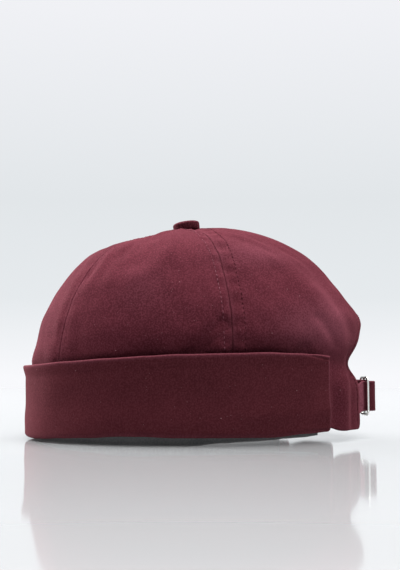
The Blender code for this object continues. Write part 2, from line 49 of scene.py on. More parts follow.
# All azimuths are degrees round the cap: 0 at the front (-Y), 90 at the wearer's left (+X), 180 at the back.
crown = {
    "frontLength": 0.0948, "backLength": 0.1060, "halfWidth": 0.0835, "frontPower": 2.05, "backPower": 2.30,
    "top": 0.1287, "cloth": 0.0016, "hole": 0.0030, "frontSeam": 34.0, "sideSeam": 103.5,
    "seamDip": 0.0009, "seamReach": 0.0045, "foldDepth": 0.0060,
    "roundRadius": 0.09,       # radius at which turns are laid flat for cuff, sweatband and the cloth's waves
    "creaseRadius": 0.08,      # the same for the creases, and the height of the cloth that they are laid on
    "creaseTall": 0.121,
    "seamEdge": 0.0007,        # how far from a seam the cloth rolls down into it
    "seamPad": 0.00022,        # height of the doubled cloth beside a seam
    "padStart": 0.0003, "padFade": 0.0016,
    "frontRow": 0.0047,        # distance of the stitch row on the seam's front side
    "backRow": 0.0068,         # and on its back side
    "narrowRow": 0.0034,       # of both rows at the seams beside the front panel, whose relief is weaker
    "narrowRelief": 0.30,
    "narrowSink": 0.00016,     # how much deeper their stitches lie
    "rowDip": 0.00028, "rowWidth": 0.0006,
    "pinch": 0.4,              # how much shallower the row is between two stitches than in one
    "pitch": 0.0029,           # from stitch to stitch
    "pucker": 0.00024, "puckerStep": 0.0105, "puckerDrift": 0.9, "puckerLong": 0.047, "puckerPast": 0.002,
    "sway": 0.00025,           # height of the cloth's soft unevenness
    "swayWaves": (7, 0.085, 0.030),    # its seed, longest and shortest wave
    "fineSway": 0.00012, "fineWaves": (11, 0.022, 0.011),
    "rowStep": 0.00082, "columnStep": 0.0019, "seamZone": 0.0092, "zoneStart": 0.0012, "zoneStep": 0.0004,
    "zoneShare": 0.40,         # most of a narrow row's width that one seam's close columns take up
    "edgeSteps": (0.0, 0.03, 0.09, 0.18, 0.30, 0.46, 0.66, 0.90),    # mm from a seam
    "poleStart": 0.004, "poleFade": 0.008,    # the relief fades out towards the button
    "cornerRise": 0.0012, "cornerReach": 0.015,
    "squeeze": 0.0008, "squeezeReach": 0.0028, "squeezeBelow": 0.001,
    "freeStart": 0.5, "freeFade": 4.0, "heldFade": 6.0,    # degrees past and before the cuff's end
    "seamGap": 0.00005, "footTall": 0.0008, "footIn": 0.0007,
    "bareRise": 0.03,          # how much lower the wear and painted light start where no cuff covers the panel
}
arch = {
    "halfWidth": 0.0360, "spring": 0.0427, "top": 0.0717,
    "hem": 0.0056, "hemPad": 0.0003, "hemStart": 0.0008, "hemFade": 0.0013, "row": 0.0049, "rowDip": 0.0003,
    "padInside": 0.4, "edgeInside": 0.5,    # shares of the hem's relief on the inner face
    "edge": 0.0009, "corner": 0.0030, "shownTall": 0.004, "rowLowest": 0.0107,
    "straightRows": 46, "curvedRows": 50, "hemRows": 18, "hemStep": 0.00045,
    "footSteps": (0.0, 0.1, 0.3, 0.6),    # mm over the rim
}
cuff = {
    "thickness": 0.0022, "end": 138.5, "height": 0.0495, "wall": 0.044,
    "flare": 0.0026, "roll": 0.0026, "lift": 0.0065, "gap": 0.0003,
    "sway": 0.00045, "swayWaves": (21, 0.110, 0.040),
    "swayTall": 0.045, "swayStart": 0.25, "swayInwards": 0.35,
    "edgeSway": 0.00022, "edgeWaves": (33, 0.070, 0.025),
    "creaseStart": 129.0, "creaseDepth": 0.0006, "creaseBelow": 0.0007,
    "creaseRun": 0.0018, "creaseWidth": 0.00055, "creaseGrowth": 3.0,
    "columns": 380, "wallRows": 50, "foldRows": 12, "footRows": 5,
    "endSteps": (0.0, 0.10, 0.28, 0.52, 0.82, 1.2, 1.8, 2.6),          # mm from an end
    "topSteps": (0.0, 0.08, 0.24, 0.48, 0.80, 1.2, 1.7, 2.3, 3.0),     # mm from the top edge
}
sweatband = {
    "wall": 0.0014, "height": 0.0327, "lift": 0.0045, "end": 135.5, "room": 0.0005, "hem": 0.0022,
    "hemDip": 0.0002, "hemWidth": 0.0005, "columns": 300, "rows": 44,
    "edgeSteps": (0.0, 0.12, 0.35, 0.75),    # mm from an edge; the even columns and rows start further in
    "columnInset": 0.0015, "rowInset": (0.0012, 0.0014),
}
# how worn the cloth is along its edges: how much, the distance of the middle, and the width
wornEdges = {
    "seam": (0.15, 0.0010, 0.0008), "arch": (0.55, 0.0006, 0.0007), "cuffTop": (0.40, 0.0006, 0.0012),
    "cuffEnd": (0.65, 0.0004, 0.0007), "cuffFold": (0.25, 0.9, 0.5), "sweatband": (0.30, 0.0004, 0.0006),
    "button": (0.10, 0.0, 0.0008), "strap": (0.30, 0.0003, 0.0005),
}
profileNames = ("frontOut", "frontUp", "sideOut", "sideUp", "backOut", "backUp")
profile = np.array((
    (1.000, 0.000, 1.000, 0.000, 1.000, 0.000),
    (1.000, 0.180, 1.000, 0.180, 1.000, 0.180),
    (0.993, 0.350, 0.991, 0.350, 0.990, 0.350),
    (0.961, 0.447, 0.988, 0.448, 0.981, 0.447),
    (0.928, 0.535, 0.949, 0.541, 0.966, 0.537),
    (0.873, 0.622, 0.888, 0.632, 0.914, 0.625),
    (0.800, 0.714, 0.809, 0.722, 0.838, 0.708),
    (0.708, 0.798, 0.716, 0.803, 0.766, 0.790),
    (0.603, 0.861, 0.602, 0.862, 0.671, 0.855),
    (0.470, 0.897, 0.477, 0.907, 0.563, 0.908),
    (0.312, 0.928, 0.340, 0.945, 0.427, 0.958),
    (0.145, 0.957, 0.175, 0.978, 0.262, 0.991),
    (0.000, 0.982, 0.000, 0.989, 0.000, 0.990),
))
# azimuth, reach round in degrees, height and reach up as shares of the crown, depth as a share of foldDepth
folds = (
    (160.0, 11.0, 0.310, 0.045, 0.92),
    (-160.0, 11.0, 0.310, 0.045, 0.92),
    (180.0, 14.0, 0.516, 0.057, -0.60),
    (92.0, 6.5, 0.350, 0.040, 0.20),
    (116.5, 6.0, 0.350, 0.040, 0.24),
    (130.0, 4.0, 0.345, 0.035, 0.14),
    (72.0, 5.0, 0.345, 0.030, 0.12),
    (66.0, 13.0, 0.700, 0.055, -0.06),
    (45.0, 9.0, 0.710, 0.060, -0.12),
    (48.0, 14.0, 0.360, 0.110, 0.20),
    (134.0, 8.0, 0.400, 0.070, -0.20),
    (-136.0, 8.0, 0.400, 0.070, -0.16),
    (-84.0, 7.0, 0.355, 0.040, 0.40),
    (-111.0, 6.0, 0.360, 0.045, 0.36),
    (-131.0, 5.0, 0.350, 0.040, 0.30),
    (-62.0, 6.0, 0.345, 0.030, 0.22),
)
# painted light: patches lightened towards the worn tone where light falls on the crown's folds; azimuth,
# reach round in degrees, height and reach up as shares of the crown, how much lighter, alike on both sides
paintedLightPatches = (
    (137.0, 15.0, 0.455, 0.105, 0.62),
    (122.0, 18.0, 0.815, 0.065, 0.34),
    (147.0, 8.0, 0.560, 0.150, 0.34),
    (67.0, 10.0, 0.650, 0.110, 0.20),
)
# soft creases of the cloth alone: width and depth in mm, outwards below 0, then azimuth and height share of
# each point
creases = (
    (7.0, -1.20, (75.3, 0.806), (71.7, 0.754), (66.5, 0.700), (63.0, 0.690)),
    (6.0, 0.55, (59.4, 0.889), (51.0, 0.841), (46.9, 0.770), (45.7, 0.716)),
    (4.5, 1.90, (88.5, 0.345), (93.0, 0.395), (100.0, 0.475)),
    (3.5, 0.50, (99.5, 0.400), (101.0, 0.470)),
    (5.5, 0.70, (86.0, 0.325), (95.0, 0.325)),
    (6.5, 1.10, (113.5, 0.325), (119.5, 0.325)),
    (3.4, 2.00, (130.0, 0.330), (130.0, 0.362)),
    (2.2, 0.70, (103.7, 0.320), (103.7, 0.360)),
    (5.5, 0.35, (70.0, 0.320), (75.0, 0.320)),
    (3.2, 0.80, (137.6, 0.500), (140.2, 0.445), (143.0, 0.390)),
    (4.5, -1.00, (151.0, 0.300), (147.8, 0.180), (147.2, 0.000)),
    (3.2, 1.10, (153.2, 0.240), (152.6, 0.020)),
    (5.6, -1.05, (106.0, 0.905), (117.0, 0.852), (129.6, 0.775), (137.5, 0.645)),
    (4.2, -0.80, (141.5, 0.640), (145.2, 0.550), (146.6, 0.470), (148.0, 0.400), (151.0, 0.345)),
    (6.0, 0.80, (138.4, 0.896), (149.8, 0.813), (150.4, 0.683), (151.0, 0.600)),
    (4.0, 1.10, (141.6, 0.330), (141.2, 0.020)),
    (3.5, -0.25, (76.9, 0.765), (77.5, 0.630)),
    (4.0, 1.00, (36.5, 0.710), (36.5, 0.735)),
    (7.0, 0.40, (6.0, 0.420), (-9.0, 0.520)),
    (5.0, 0.60, (18.0, 0.340), (21.0, 0.340)),
    (5.0, 0.60, (-15.0, 0.330), (-11.0, 0.330)),
    (7.0, -0.90, (-74.0, 0.840), (-66.0, 0.760), (-54.0, 0.700)),
    (6.0, 0.70, (-62.0, 0.880), (-50.0, 0.820), (-44.0, 0.740)),
    (4.5, 1.00, (-96.0, 0.345), (-91.0, 0.400), (-85.0, 0.450)),
    (6.0, 1.00, (-88.0, 0.325), (-78.0, 0.325)),
    (6.0, 1.20, (-115.0, 0.325), (-110.0, 0.330)),
    (3.5, 1.20, (-128.0, 0.330), (-127.0, 0.360)),
    (3.5, 0.80, (-134.0, 0.520), (-140.0, 0.400)),
    (5.0, -1.10, (-152.0, 0.300), (-148.5, 0.000)),
    (5.8, -1.00, (-118.0, 0.850), (-132.0, 0.760), (-138.5, 0.640)),
    (5.0, -0.55, (-141.0, 0.560), (-144.0, 0.440), (-150.0, 0.345)),
    (6.0, 0.70, (-140.0, 0.900), (-150.0, 0.800), (-151.0, 0.640)),
)
# height share, then how far the cuff stands off at its front, side and end, as shares of its flare
cuffStand = np.array((
    (0.00, 0.20, 0.20, 0.20),
    (0.15, 0.22, 0.22, 0.22),
    (0.45, 0.00, 0.06, 0.06),
    (0.80, 0.14, 0.12, 0.12),
    (1.00, 0.80, 0.36, 0.30),
))
# azimuth, share of the fold's greatest height over the floor
lift = np.array((
    (0.0, 0.19), (17.0, 0.19), (26.0, 0.27), (36.0, 0.43), (48.0, 0.55), (62.0, 0.74), (70.0, 0.75),
    (82.0, 0.66), (108.0, 0.65), (116.0, 0.63), (130.0, 0.88), (138.0, 0.98), (147.0, 0.57), (180.0, 0.57),
))
# azimuth, share of the cuff's greatest height
cuffEdge = np.array((
    (0.0, 0.873), (20.0, 0.885), (40.0, 0.907), (57.0, 0.938), (72.0, 0.965), (85.0, 0.982), (95.0, 0.986),
    (105.0, 0.996), (115.0, 1.000), (125.0, 0.996), (132.0, 0.987), (140.0, 0.976),
))
# signed azimuth, share of the sweatband's greatest lift: it stands on the floor except towards its left end
bandEdge = np.array((
    (-180.0, 0.00), (88.0, 0.00), (99.0, 0.28), (111.0, 0.47), (117.0, 0.56), (123.0, 0.73), (129.0, 0.80),
    (136.0, 1.00),
))


# shapes shared by the pieces

def eased(rows, key, column):
    # table value at key, moved from row to row by 3t^2 - 2t^3
    low = np.clip(np.searchsorted(rows[:, 0], key, side="left") - 1, 0, len(rows) - 2)
    part = smoothStep((key - rows[low, 0]) / (rows[low + 1, 0] - rows[low, 0]))
    return rows[low, column] + part * (rows[low + 1, column] - rows[low, column])


def throughRows(rows, place, column):
    # Catmull-Rom curve through evenly spaced rows, place from 0 to 1
    spot = np.clip(place, 0.0, 1.0) * (len(rows) - 1)
    low = np.minimum(spot.astype(int), len(rows) - 2)
    part = spot - low
    before, start, end, after = (
        rows[np.clip(low + step, 0, len(rows) - 1), column] for step in (-1, 0, 1, 2)
    )
    return hermite(start, (end - before) / 2, end, (after - start) / 2, part)


def hermite(start, leaving, end, arriving, part):
    # cubic between two values with a slope at each, part from 0 to 1
    return (
        (2 * part**3 - 3 * part**2 + 1) * start + (part**3 - 2 * part**2 + part) * leaving
        + (3 * part**2 - 2 * part**3) * end + (part**3 - part**2) * arriving
    )


def smoothStep(value):
    # 0 below 0, 1 above 1, 3t^2 - 2t^3 between
    part = np.clip(value, 0.0, 1.0)
    return part * part * (3.0 - 2.0 * part)


def bell(value):
    # 1 in the middle, falling off as e to the minus square
    return np.exp(-value**2)


def wornAt(edge, distance):
    # wear along an edge: a bell round its middle distance
    much, middle, width = wornEdges[edge]
    return much * bell((distance - middle) / width)


def ripple(across, along, seed, coarse, fine):
    # sine waves in scattered directions, wavelengths between coarse and fine metres
    waves = 6
    scattered = np.random.default_rng(seed)
    total = np.zeros(np.broadcast(across, along).shape)
    for _ in range(waves):
        turn, phase = scattered.uniform(0.0, 2.0 * math.pi, 2)
        wave = scattered.uniform(1.0 / coarse, 1.0 / fine) * 2.0 * math.pi
        total += np.sin(wave * (across * math.cos(turn) + along * math.sin(turn)) + phase)
    return total / waves**0.5


def quarterRound(share):
    # height of a quarter circle of radius 1: 0 at share 0, 1 from share 1 on
    return np.sqrt(1.0 - (1.0 - np.clip(share, 0.0, 1.0)) ** 2)


def closing(distance, half):
    # the same curve for the wall beside a rounded edge, which keeps a little of its half thickness there
    least = 0.02
    return np.sqrt(np.clip(1.0 - (1.0 - np.clip(distance / half, 0.0, 1.0)) ** 2, least, 1.0))


def halving(low, high, isLower, rounds):
    # closes in on the place where isLower turns false, for whole arrays at once
    for _ in range(rounds):
        middle = (low + high) / 2.0
        lower = isLower(middle)
        low, high = np.where(lower, middle, low), np.where(lower, high, middle)
    return low, high


def lengthsAlong(across, along):
    # length of a polyline from its start to each of its points
    return np.concatenate(([0.0], np.cumsum(np.hypot(np.diff(across), np.diff(along)))))


def unit(vectors):
    # vectors divided by their lengths
    return vectors / np.linalg.norm(vectors, axis=-1, keepdims=True)


def direction(azimuth):
    # unit vector of an azimuth: its sine across, less its cosine along
    turn = np.radians(azimuth)
    return np.sin(turn), -np.cos(turn)


def turnBetween(azimuth, other):
    # difference of two azimuths, from -180 to 180
    return (azimuth - other + 180.0) % 360.0 - 180.0


def facing(azimuth):
    # shares of front, side and back: squared cosines and the rest
    ahead = np.cos(np.radians(azimuth))
    front = np.maximum(ahead, 0.0) ** 2
    back = np.maximum(-ahead, 0.0) ** 2
    return front, 1.0 - front - back, back


def outlineRadius(azimuth):
    # superellipse round the button's axis, its front half and its back half each with a length and a power
    across, along = (np.abs(share) for share in direction(azimuth))
    behind = np.abs(turnBetween(azimuth, 0.0)) > 90.0
    power = np.where(behind, crown["backPower"], crown["frontPower"])
    length = np.where(behind, crown["backLength"], crown["frontLength"])
    return ((across / crown["halfWidth"]) ** power + (along / length) ** power) ** (-1.0 / power)


def wallNormal(azimuth):
    # outward unit normal of the outline, from two neighbouring points
    step = 0.05
    sinAhead, cosAhead = direction(azimuth + step)
    sinBehind, cosBehind = direction(azimuth - step)
    alongX = outlineRadius(azimuth + step) * sinAhead - outlineRadius(azimuth - step) * sinBehind
    alongY = outlineRadius(azimuth + step) * cosAhead - outlineRadius(azimuth - step) * cosBehind
    size = np.hypot(alongX, alongY)
    return alongY / size, -alongX / size


def wallPoint(azimuth, outwards):
    # point of the outline moved square to it
    across, along = direction(azimuth)
    normalX, normalY = wallNormal(azimuth)
    radius = outlineRadius(azimuth)
    return radius * across + normalX * outwards, radius * along + normalY * outwards


def wallFace(azimuth, outwards, height):
    # the same in the part's frame, with a height for each point
    across, along = wallPoint(azimuth, outwards)
    return np.stack((across, along + apexY, height), axis=-1)


def foldLift(azimuth):
    # height of the cuff's fold over the floor: its table times its greatest lift
    return cuff["lift"] * eased(lift, np.abs(turnBetween(azimuth, 0.0)), 1)


def cuffTop(azimuth):
    # height of the cuff's top edge: its table times its greatest height
    return cuff["height"] * eased(cuffEdge, np.abs(azimuth), 1)


def rimHeight(azimuth):
    # the crown's edge stands in the fold, a gap over its cloth
    return foldLift(azimuth) + cuff["thickness"] + cuff["gap"]


def heightShare(azimuth, height):
    # 0 at the rim, 1 at the crown's top
    return (height - rimHeight(azimuth)) / (crown["top"] - rimHeight(azimuth))


def smoothCrown(azimuth, rise):
    # how far out and how high the crown is: profile columns mixed by facing, rise 0 at the rim, 1 at the hole
    column = {name: throughRows(profile, rise, place) for place, name in enumerate(profileNames)}
    shares = dict(zip(("front", "side", "back"), facing(azimuth)))
    out = sum(share * column[f"{name}Out"] for name, share in shares.items())
    up = sum(share * column[f"{name}Up"] for name, share in shares.items())
    low = rimHeight(azimuth)
    return crown["hole"] + (outlineRadius(azimuth) - crown["hole"]) * out, low + (crown["top"] - low) * up


def foldDepth(azimuth, height):
    # sum of bells, positive inwards
    up = heightShare(azimuth, height)
    total = 0.0
    for place, around, middle, tall, depth in folds:
        away = (turnBetween(azimuth, place) / around) ** 2 + ((up - middle) / tall) ** 2
        total = total + depth * np.exp(-away / 2)
    return crown["foldDepth"] * total


def creaseDepth(azimuth, height):
    # bells across the nearest point of each line, on the cloth laid flat
    flatRadius = crown["creaseRadius"]
    low = rimHeight(azimuth)
    tall = crown["top"] - low
    total = 0.0
    for width, depth, *points in creases:
        nearest = 1.0
        for (fromTurn, fromUp), (toTurn, toUp) in zip(points, points[1:]):
            alongX = math.radians(toTurn - fromTurn) * flatRadius
            alongY = (toUp - fromUp) * crown["creaseTall"]
            placeX = np.radians(turnBetween(azimuth, fromTurn)) * flatRadius
            placeY = height - low - fromUp * tall
            share = np.clip((placeX * alongX + placeY * alongY) / (alongX**2 + alongY**2), 0.0, 1.0)
            nearest = np.minimum(nearest, np.hypot(placeX - share * alongX, placeY - share * alongY))
        total = total + depth * mm * bell(nearest / (width * mm))
    return total


def grownAbove(height):
    # 0 beside the sweatband, 1 from the cuff's top upwards
    low = sweatband["height"]
    return np.clip((height - low) / (cuffTop(0.0) - low), 0.0, 1.0)


seams = (crown["frontSeam"], -crown["frontSeam"], crown["sideSeam"], -crown["sideSeam"], 180.0)


def seamDepth(azimuth, radius, height):
    # a broad dip across the nearest seam: a bell of the distance round to it
    nearest = np.min([np.abs(turnBetween(azimuth, seam)) for seam in seams], axis=0)
    return crown["seamDip"] * grownAbove(height) * bell(np.radians(nearest) * radius / crown["seamReach"])


def crownPoint(azimuth, rise, outwards):
    # the smooth crown moved square to its profile: outwards, less the folds and the seams' broad dip
    step = 0.01
    radius, height = smoothCrown(azimuth, rise)
    upperRadius, upperHeight = smoothCrown(azimuth, np.minimum(rise + step, 1.0))
    lowerRadius, lowerHeight = smoothCrown(azimuth, np.maximum(rise - step, 0.0))
    steepness = np.arctan2(upperHeight - lowerHeight, lowerRadius - upperRadius)
    push = outwards - foldDepth(azimuth, height) - seamDepth(azimuth, radius, height)
    radius = radius + push * np.sin(steepness)
    height = height + push * np.cos(steepness)
    across, along = direction(azimuth)
    return np.stack((radius * across, radius * along + apexY, height), axis=-1)


def lengthUp(azimuth):
    # rises, and the length of the smooth crown's line from the rim up to each
    rises = np.linspace(0.0, 1.0, 1201)
    return rises, lengthsAlong(*smoothCrown(np.full(rises.shape, azimuth), rises))


def quads(a, b, c, d):
    # one face for each place in four arrays of corners
    return np.stack((a, b, c, d), axis=-1).reshape(-1, 4)


def gridFaces(grid):
    # a face between each four neighbours of a grid of point numbers
    return quads(grid[:-1, :-1], grid[:-1, 1:], grid[1:, 1:], grid[1:, :-1])


def tubeFaces(rings, sides):
    # faces round a tube of rings, and fans that close its ends on two points numbered after the last ring
    ring = np.arange(rings * sides).reshape(rings, sides)
    ring = np.concatenate((ring, ring[:, :1]), axis=1)
    start = np.full(sides, rings * sides)
    return np.concatenate((
        gridFaces(ring),
        quads(ring[0, 1:], ring[0, :-1], start, start),
        quads(ring[-1, :-1], ring[-1, 1:], start + 1, start + 1),
    ))


def withEnds(rings):
    # the points of a tube's rings, then the middles of its first and last ring
    flat = rings.reshape(-1, rings.shape[-1])
    return np.concatenate((flat, rings[:1].mean(axis=1), rings[-1:].mean(axis=1)))


def makeMesh(name, points, faces, uv, wearAndPaintedLight, look):
    # points, faces and per-point values as whole arrays; triangles repeat their last corner
    mesh = bpy.data.meshes.new(name)
    sizes = np.where(faces[:, 2] == faces[:, 3], 3, 4)
    corners = faces[np.arange(4)[None, :] < sizes[:, None]]
    mesh.vertices.add(len(points))
    mesh.vertices.foreach_set("co", points.astype(np.float32).ravel())
    mesh.loops.add(len(corners))
    mesh.loops.foreach_set("vertex_index", corners.astype(np.int32))
    mesh.polygons.add(len(faces))
    mesh.polygons.foreach_set("loop_start", np.concatenate(([0], np.cumsum(sizes)[:-1])).astype(np.int32))
    mesh.polygons.foreach_set("use_smooth", np.ones(len(faces), dtype=bool))
    layer = mesh.uv_layers.new(name="cloth")
    layer.data.foreach_set("uv", uv[corners].astype(np.float32).ravel())
    # one attribute carries the wear and the painted light: lighter patches on the crown and the lit free end
    # of the strap
    wornAndLit = mesh.attributes.new("wearAndPaintedLight", "FLOAT", "POINT")
    wornAndLit.data.foreach_set("value", wearAndPaintedLight.astype(np.float32).ravel())
    mesh.update(calc_edges=True)
    mesh.validate()
    mesh.materials.append(look)
    piece = bpy.data.objects.new(name, mesh)
    bpy.context.scene.collection.objects.link(piece)
    return piece


def shellPiece(name, outer, inner, uv, wearAndPaintedLight, look):
    # two grids of the same size, rows by columns, joined along their border into one closed skin
    rows, columns = outer.shape[:2]
    count = rows * columns
    grid = np.arange(count).reshape(rows, columns)
    outside = gridFaces(grid)
    border = np.concatenate((grid[0, :-1], grid[:-1, -1], grid[-1, :0:-1], grid[:0:-1, 0]))
    onwards = np.roll(border, -1)
    edge = quads(border, border + count, onwards + count, onwards)
    faces = np.concatenate((outside, outside[:, ::-1] + count, edge))
    points = np.concatenate((outer.reshape(-1, 3), inner.reshape(-1, 3)))
    return makeMesh(name, points, faces, np.tile(uv.reshape(-1, 2), (2, 1)), np.tile(wearAndPaintedLight.ravel(), 2), look)


def settle(piece, slot, *nodes):
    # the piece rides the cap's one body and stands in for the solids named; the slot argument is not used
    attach(piece, "root")
    if nodes:
        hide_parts(*nodes)


# materials

def addNode(tree, kind, inputs=None, **settings):
    # a node with its settings, each input joined to the socket or set to the value that it is given
    node = tree.nodes.new(kind)
    for key, value in settings.items():
        setattr(node, key, value)
    fill(tree, node, inputs or {})
    return node


def fill(tree, node, inputs):
    # joins an input that is given a socket, sets one that is given a value
    for key, value in inputs.items():
        if isinstance(value, bpy.types.NodeSocket):
            tree.links.new(value, node.inputs[key])
        else:
            node.inputs[key].default_value = value


def newMaterial(name, tone):
    # a material that is its plain shader so far, with the tone that it has in the viewport
    made = bpy.data.materials.new(name)
    made.use_nodes = True
    made.diffuse_color = (*tone, 1.0)
    return made, made.node_tree, made.node_tree.nodes["Principled BSDF"]


def noise(tree, vector, scale, detail):
    # outputs of a soft noise in metres or in the cloth's own lengths, whichever the vector gives
    return addNode(tree, "ShaderNodeTexNoise", {"Vector": vector, "Scale": scale, "Detail": detail}).outputs


def mixed(tree, factor, first, second):
    # first and second colour, mixed by the factor
    inputs = {0: factor, 6: first, 7: second}
    return addNode(tree, "ShaderNodeMix", inputs, data_type="RGBA").outputs[2]


def ranged(tree, source, low, high, toLow=0.0, toHigh=1.0):
    # the source's range from low to high, stretched to another range
    inputs = {"Value": source, "From Min": low, "From Max": high, "To Min": toLow, "To Max": toHigh}
    return addNode(tree, "ShaderNodeMapRange", inputs).outputs["Result"]


def product(tree, first, second):
    # two values multiplied
    return addNode(tree, "ShaderNodeMath", {0: first, 1: second}, operation="MULTIPLY").outputs[0]


def opaque(colour):
    # a colour with its alpha
    return (*colour, 1.0)


def shaded(colour, share):
    # a colour made darker or lighter
    return tuple(part * share for part in colour)


def twill(name, look):
    # cotton twill: noises mix three shades, worn edges, painted light and lint dots lighten it, fine slanting
    # ribs raise it
    made, tree, shader = newMaterial(name, look["base"])
    place = addNode(tree, "ShaderNodeTexCoord").outputs["Object"]
    cloth = addNode(tree, "ShaderNodeUVMap", uv_map="cloth").outputs["UV"]
    pale = opaque(look["pale"])
    broad = noise(tree, place, look["broadScale"], detail=3.0)
    fine = noise(tree, place, look["fineScale"], detail=2.0)
    slender = (look["yarnScale"], look["yarnScale"] * look["yarnLong"], 1.0)
    stretched = addNode(tree, "ShaderNodeMapping", {"Vector": cloth, "Scale": slender})
    yarn = noise(tree, stretched.outputs["Vector"], scale=1.0, detail=2.0)

    colour = mixed(tree, ranged(tree, broad["Fac"], 0.35, 0.65), opaque(look["deep"]), opaque(look["base"]))
    colour = mixed(tree, ranged(tree, fine["Fac"], 0.42, 0.64, 0.0, look["fineMix"]), colour, pale)
    colour = mixed(tree, ranged(tree, yarn["Fac"], 0.40, 0.75, 0.0, look["yarnMix"]), colour, pale)

    wornAndLit = addNode(tree, "ShaderNodeAttribute", attribute_name="wearAndPaintedLight", attribute_type="GEOMETRY")
    uneven = ranged(tree, fine["Fac"], 0.30, 0.60, 0.45, 1.0)
    colour = mixed(tree, product(tree, wornAndLit.outputs["Fac"], uneven), colour, opaque(look["wornAndLit"]))

    for scale, size, rare, strength in look["lint"]:
        dots = addNode(tree, "ShaderNodeTexVoronoi", {"Vector": place, "Scale": scale}, feature="F1").outputs
        near = ranged(tree, dots["Distance"], size, size * 0.6)
        number = addNode(tree, "ShaderNodeSeparateColor", {"Color": dots["Color"]}).outputs["Red"]
        chosen = ranged(tree, number, rare, rare + 0.02, 0.0, strength)
        colour = mixed(tree, product(tree, near, chosen), colour, opaque(look["lintTone"]))

    slant = (0.0, 0.0, math.radians(look["ribSlant"]))
    slanted = addNode(tree, "ShaderNodeMapping", {"Vector": cloth, "Rotation": slant}).outputs["Vector"]
    ribs = addNode(tree, "ShaderNodeTexWave", {
        "Vector": slanted, "Scale": look["ribScale"], "Distortion": 0.6, "Detail": 1.0,
    }, wave_type="BANDS", bands_direction="X")
    weave = mixed(tree, 0.45, ribs.outputs["Color"], fine["Color"])
    raised = addNode(tree, "ShaderNodeBump", {
        "Strength": look["bump"], "Distance": look["bumpHeight"], "Height": weave,
    })
    rough = look["roughness"]
    fill(tree, shader, {
        "Base Color": colour, "Normal": raised.outputs["Normal"],
        "Roughness": ranged(tree, fine["Fac"], 0.30, 0.70, rough - 0.05, rough + 0.05),
        "Specular IOR Level": look["specular"], "Sheen Weight": look["sheen"],
        "Sheen Roughness": look["sheenRoughness"], "Sheen Tint": opaque(look["sheenTint"]),
    })
    return made


burgundy = (0.070, 0.0138, 0.0203)
clothLook = {
    "base": burgundy, "deep": shaded(burgundy, 0.78), "pale": (0.122, 0.028, 0.041),
    # the lighter tone that worn edges and painted light both mix towards
    "wornAndLit": (0.17, 0.050, 0.070),
    "broadScale": 32.0, "fineScale": 1150.0, "fineMix": 0.60,
    "yarnScale": 1500.0, "yarnLong": 0.05, "yarnMix": 0.12,
    # scale, size, how rare and how strong
    "lint": ((150.0, 0.040, 0.72, 0.60), (430.0, 0.085, 0.64, 0.32)), "lintTone": (0.50, 0.30, 0.33),
    "ribScale": 700.0, "ribSlant": 28.0, "bump": 0.6, "bumpHeight": 0.00012,
    "roughness": 0.9, "specular": 0.01, "sheen": 0.07, "sheenRoughness": 0.4, "sheenTint": (1.0, 0.32, 0.40),
}
cuffLook = {
    **clothLook, "base": (0.062, 0.0122, 0.0165), "deep": (0.052, 0.0104, 0.0140),
    "pale": (0.100, 0.024, 0.031), "fineMix": 0.55, "yarnMix": 0.22,
}
buttonLook = {**clothLook, "base": shaded(burgundy, 0.75), "deep": shaded(burgundy, 0.62)}
# its lighter worn tone serves both the edge wear and the painted light on the free end
strapLook = {**clothLook, "fineMix": 0.40, "wornAndLit": (0.26, 0.082, 0.112)}
bandLook = {
    **clothLook, "base": (0.112, 0.114, 0.116), "deep": (0.090, 0.092, 0.094), "pale": (0.15, 0.152, 0.155),
    "wornAndLit": (0.14, 0.14, 0.14), "lint": ((150.0, 0.040, 0.80, 0.20),), "sheen": 0.05,
}
threadLook = {**clothLook, "lint": ()}
crownTwill = twill("crown_twill_cloth", clothLook)
cuffTwill = twill("cuff_twill_cloth", cuffLook)
buttonTwill = twill("button_twill_cloth", buttonLook)
strapTwill = twill("strap_twill_cloth", strapLook)
# the pale and dark threads are lit and shaded copies of one thread: painted light and painted shade
threads = {
    "pale": twill("thread_painted_light", {**threadLook, "base": (0.25, 0.105, 0.13), "deep": (0.17, 0.06, 0.08)}),
    "dark": twill("thread_painted_shade", {**threadLook, "base": (0.045, 0.008, 0.013), "deep": (0.03, 0.006, 0.009)}),
    "burgundy": twill("thread_burgundy", {**threadLook, "base": shaded(burgundy, 1.15)}),
}
bandCotton = twill("sweatband_cotton_cloth", bandLook)


def addRamp(tree, factor, stops):
    # colours at their places, with the even blend between them
    ramp = addNode(tree, "ShaderNodeValToRGB", {"Fac": factor})
    elements = ramp.color_ramp.elements
    while len(elements) < len(stops):
        elements.new(0.5)
    for element, (place, colour) in zip(elements, stops):
        element.position = place
        element.color = opaque(colour)
    return ramp.outputs["Color"]


def polishedNickel(name):
    # bright metal with faint smears: noise moves colour and roughness a little
    made, tree, shader = newMaterial(name, (0.72, 0.72, 0.70))
    place = addNode(tree, "ShaderNodeTexCoord").outputs["Object"]
    smear = noise(tree, place, scale=420.0, detail=4.0)["Fac"]
    raised = addNode(tree, "ShaderNodeBump", {"Strength": 0.15, "Distance": 0.0001, "Height": smear})
    fill(tree, shader, {
        "Base Color": addRamp(tree, smear, ((0.0, (0.62, 0.61, 0.58)), (1.0, (0.80, 0.80, 0.78)))),
        "Roughness": ranged(tree, smear, 0.0, 1.0, 0.12, 0.32),
        "Normal": raised.outputs["Normal"], "Metallic": 1.0,
    })
    return made


nickel = polishedNickel("buckle_nickel_plate")
print("docker beanie: materials made")


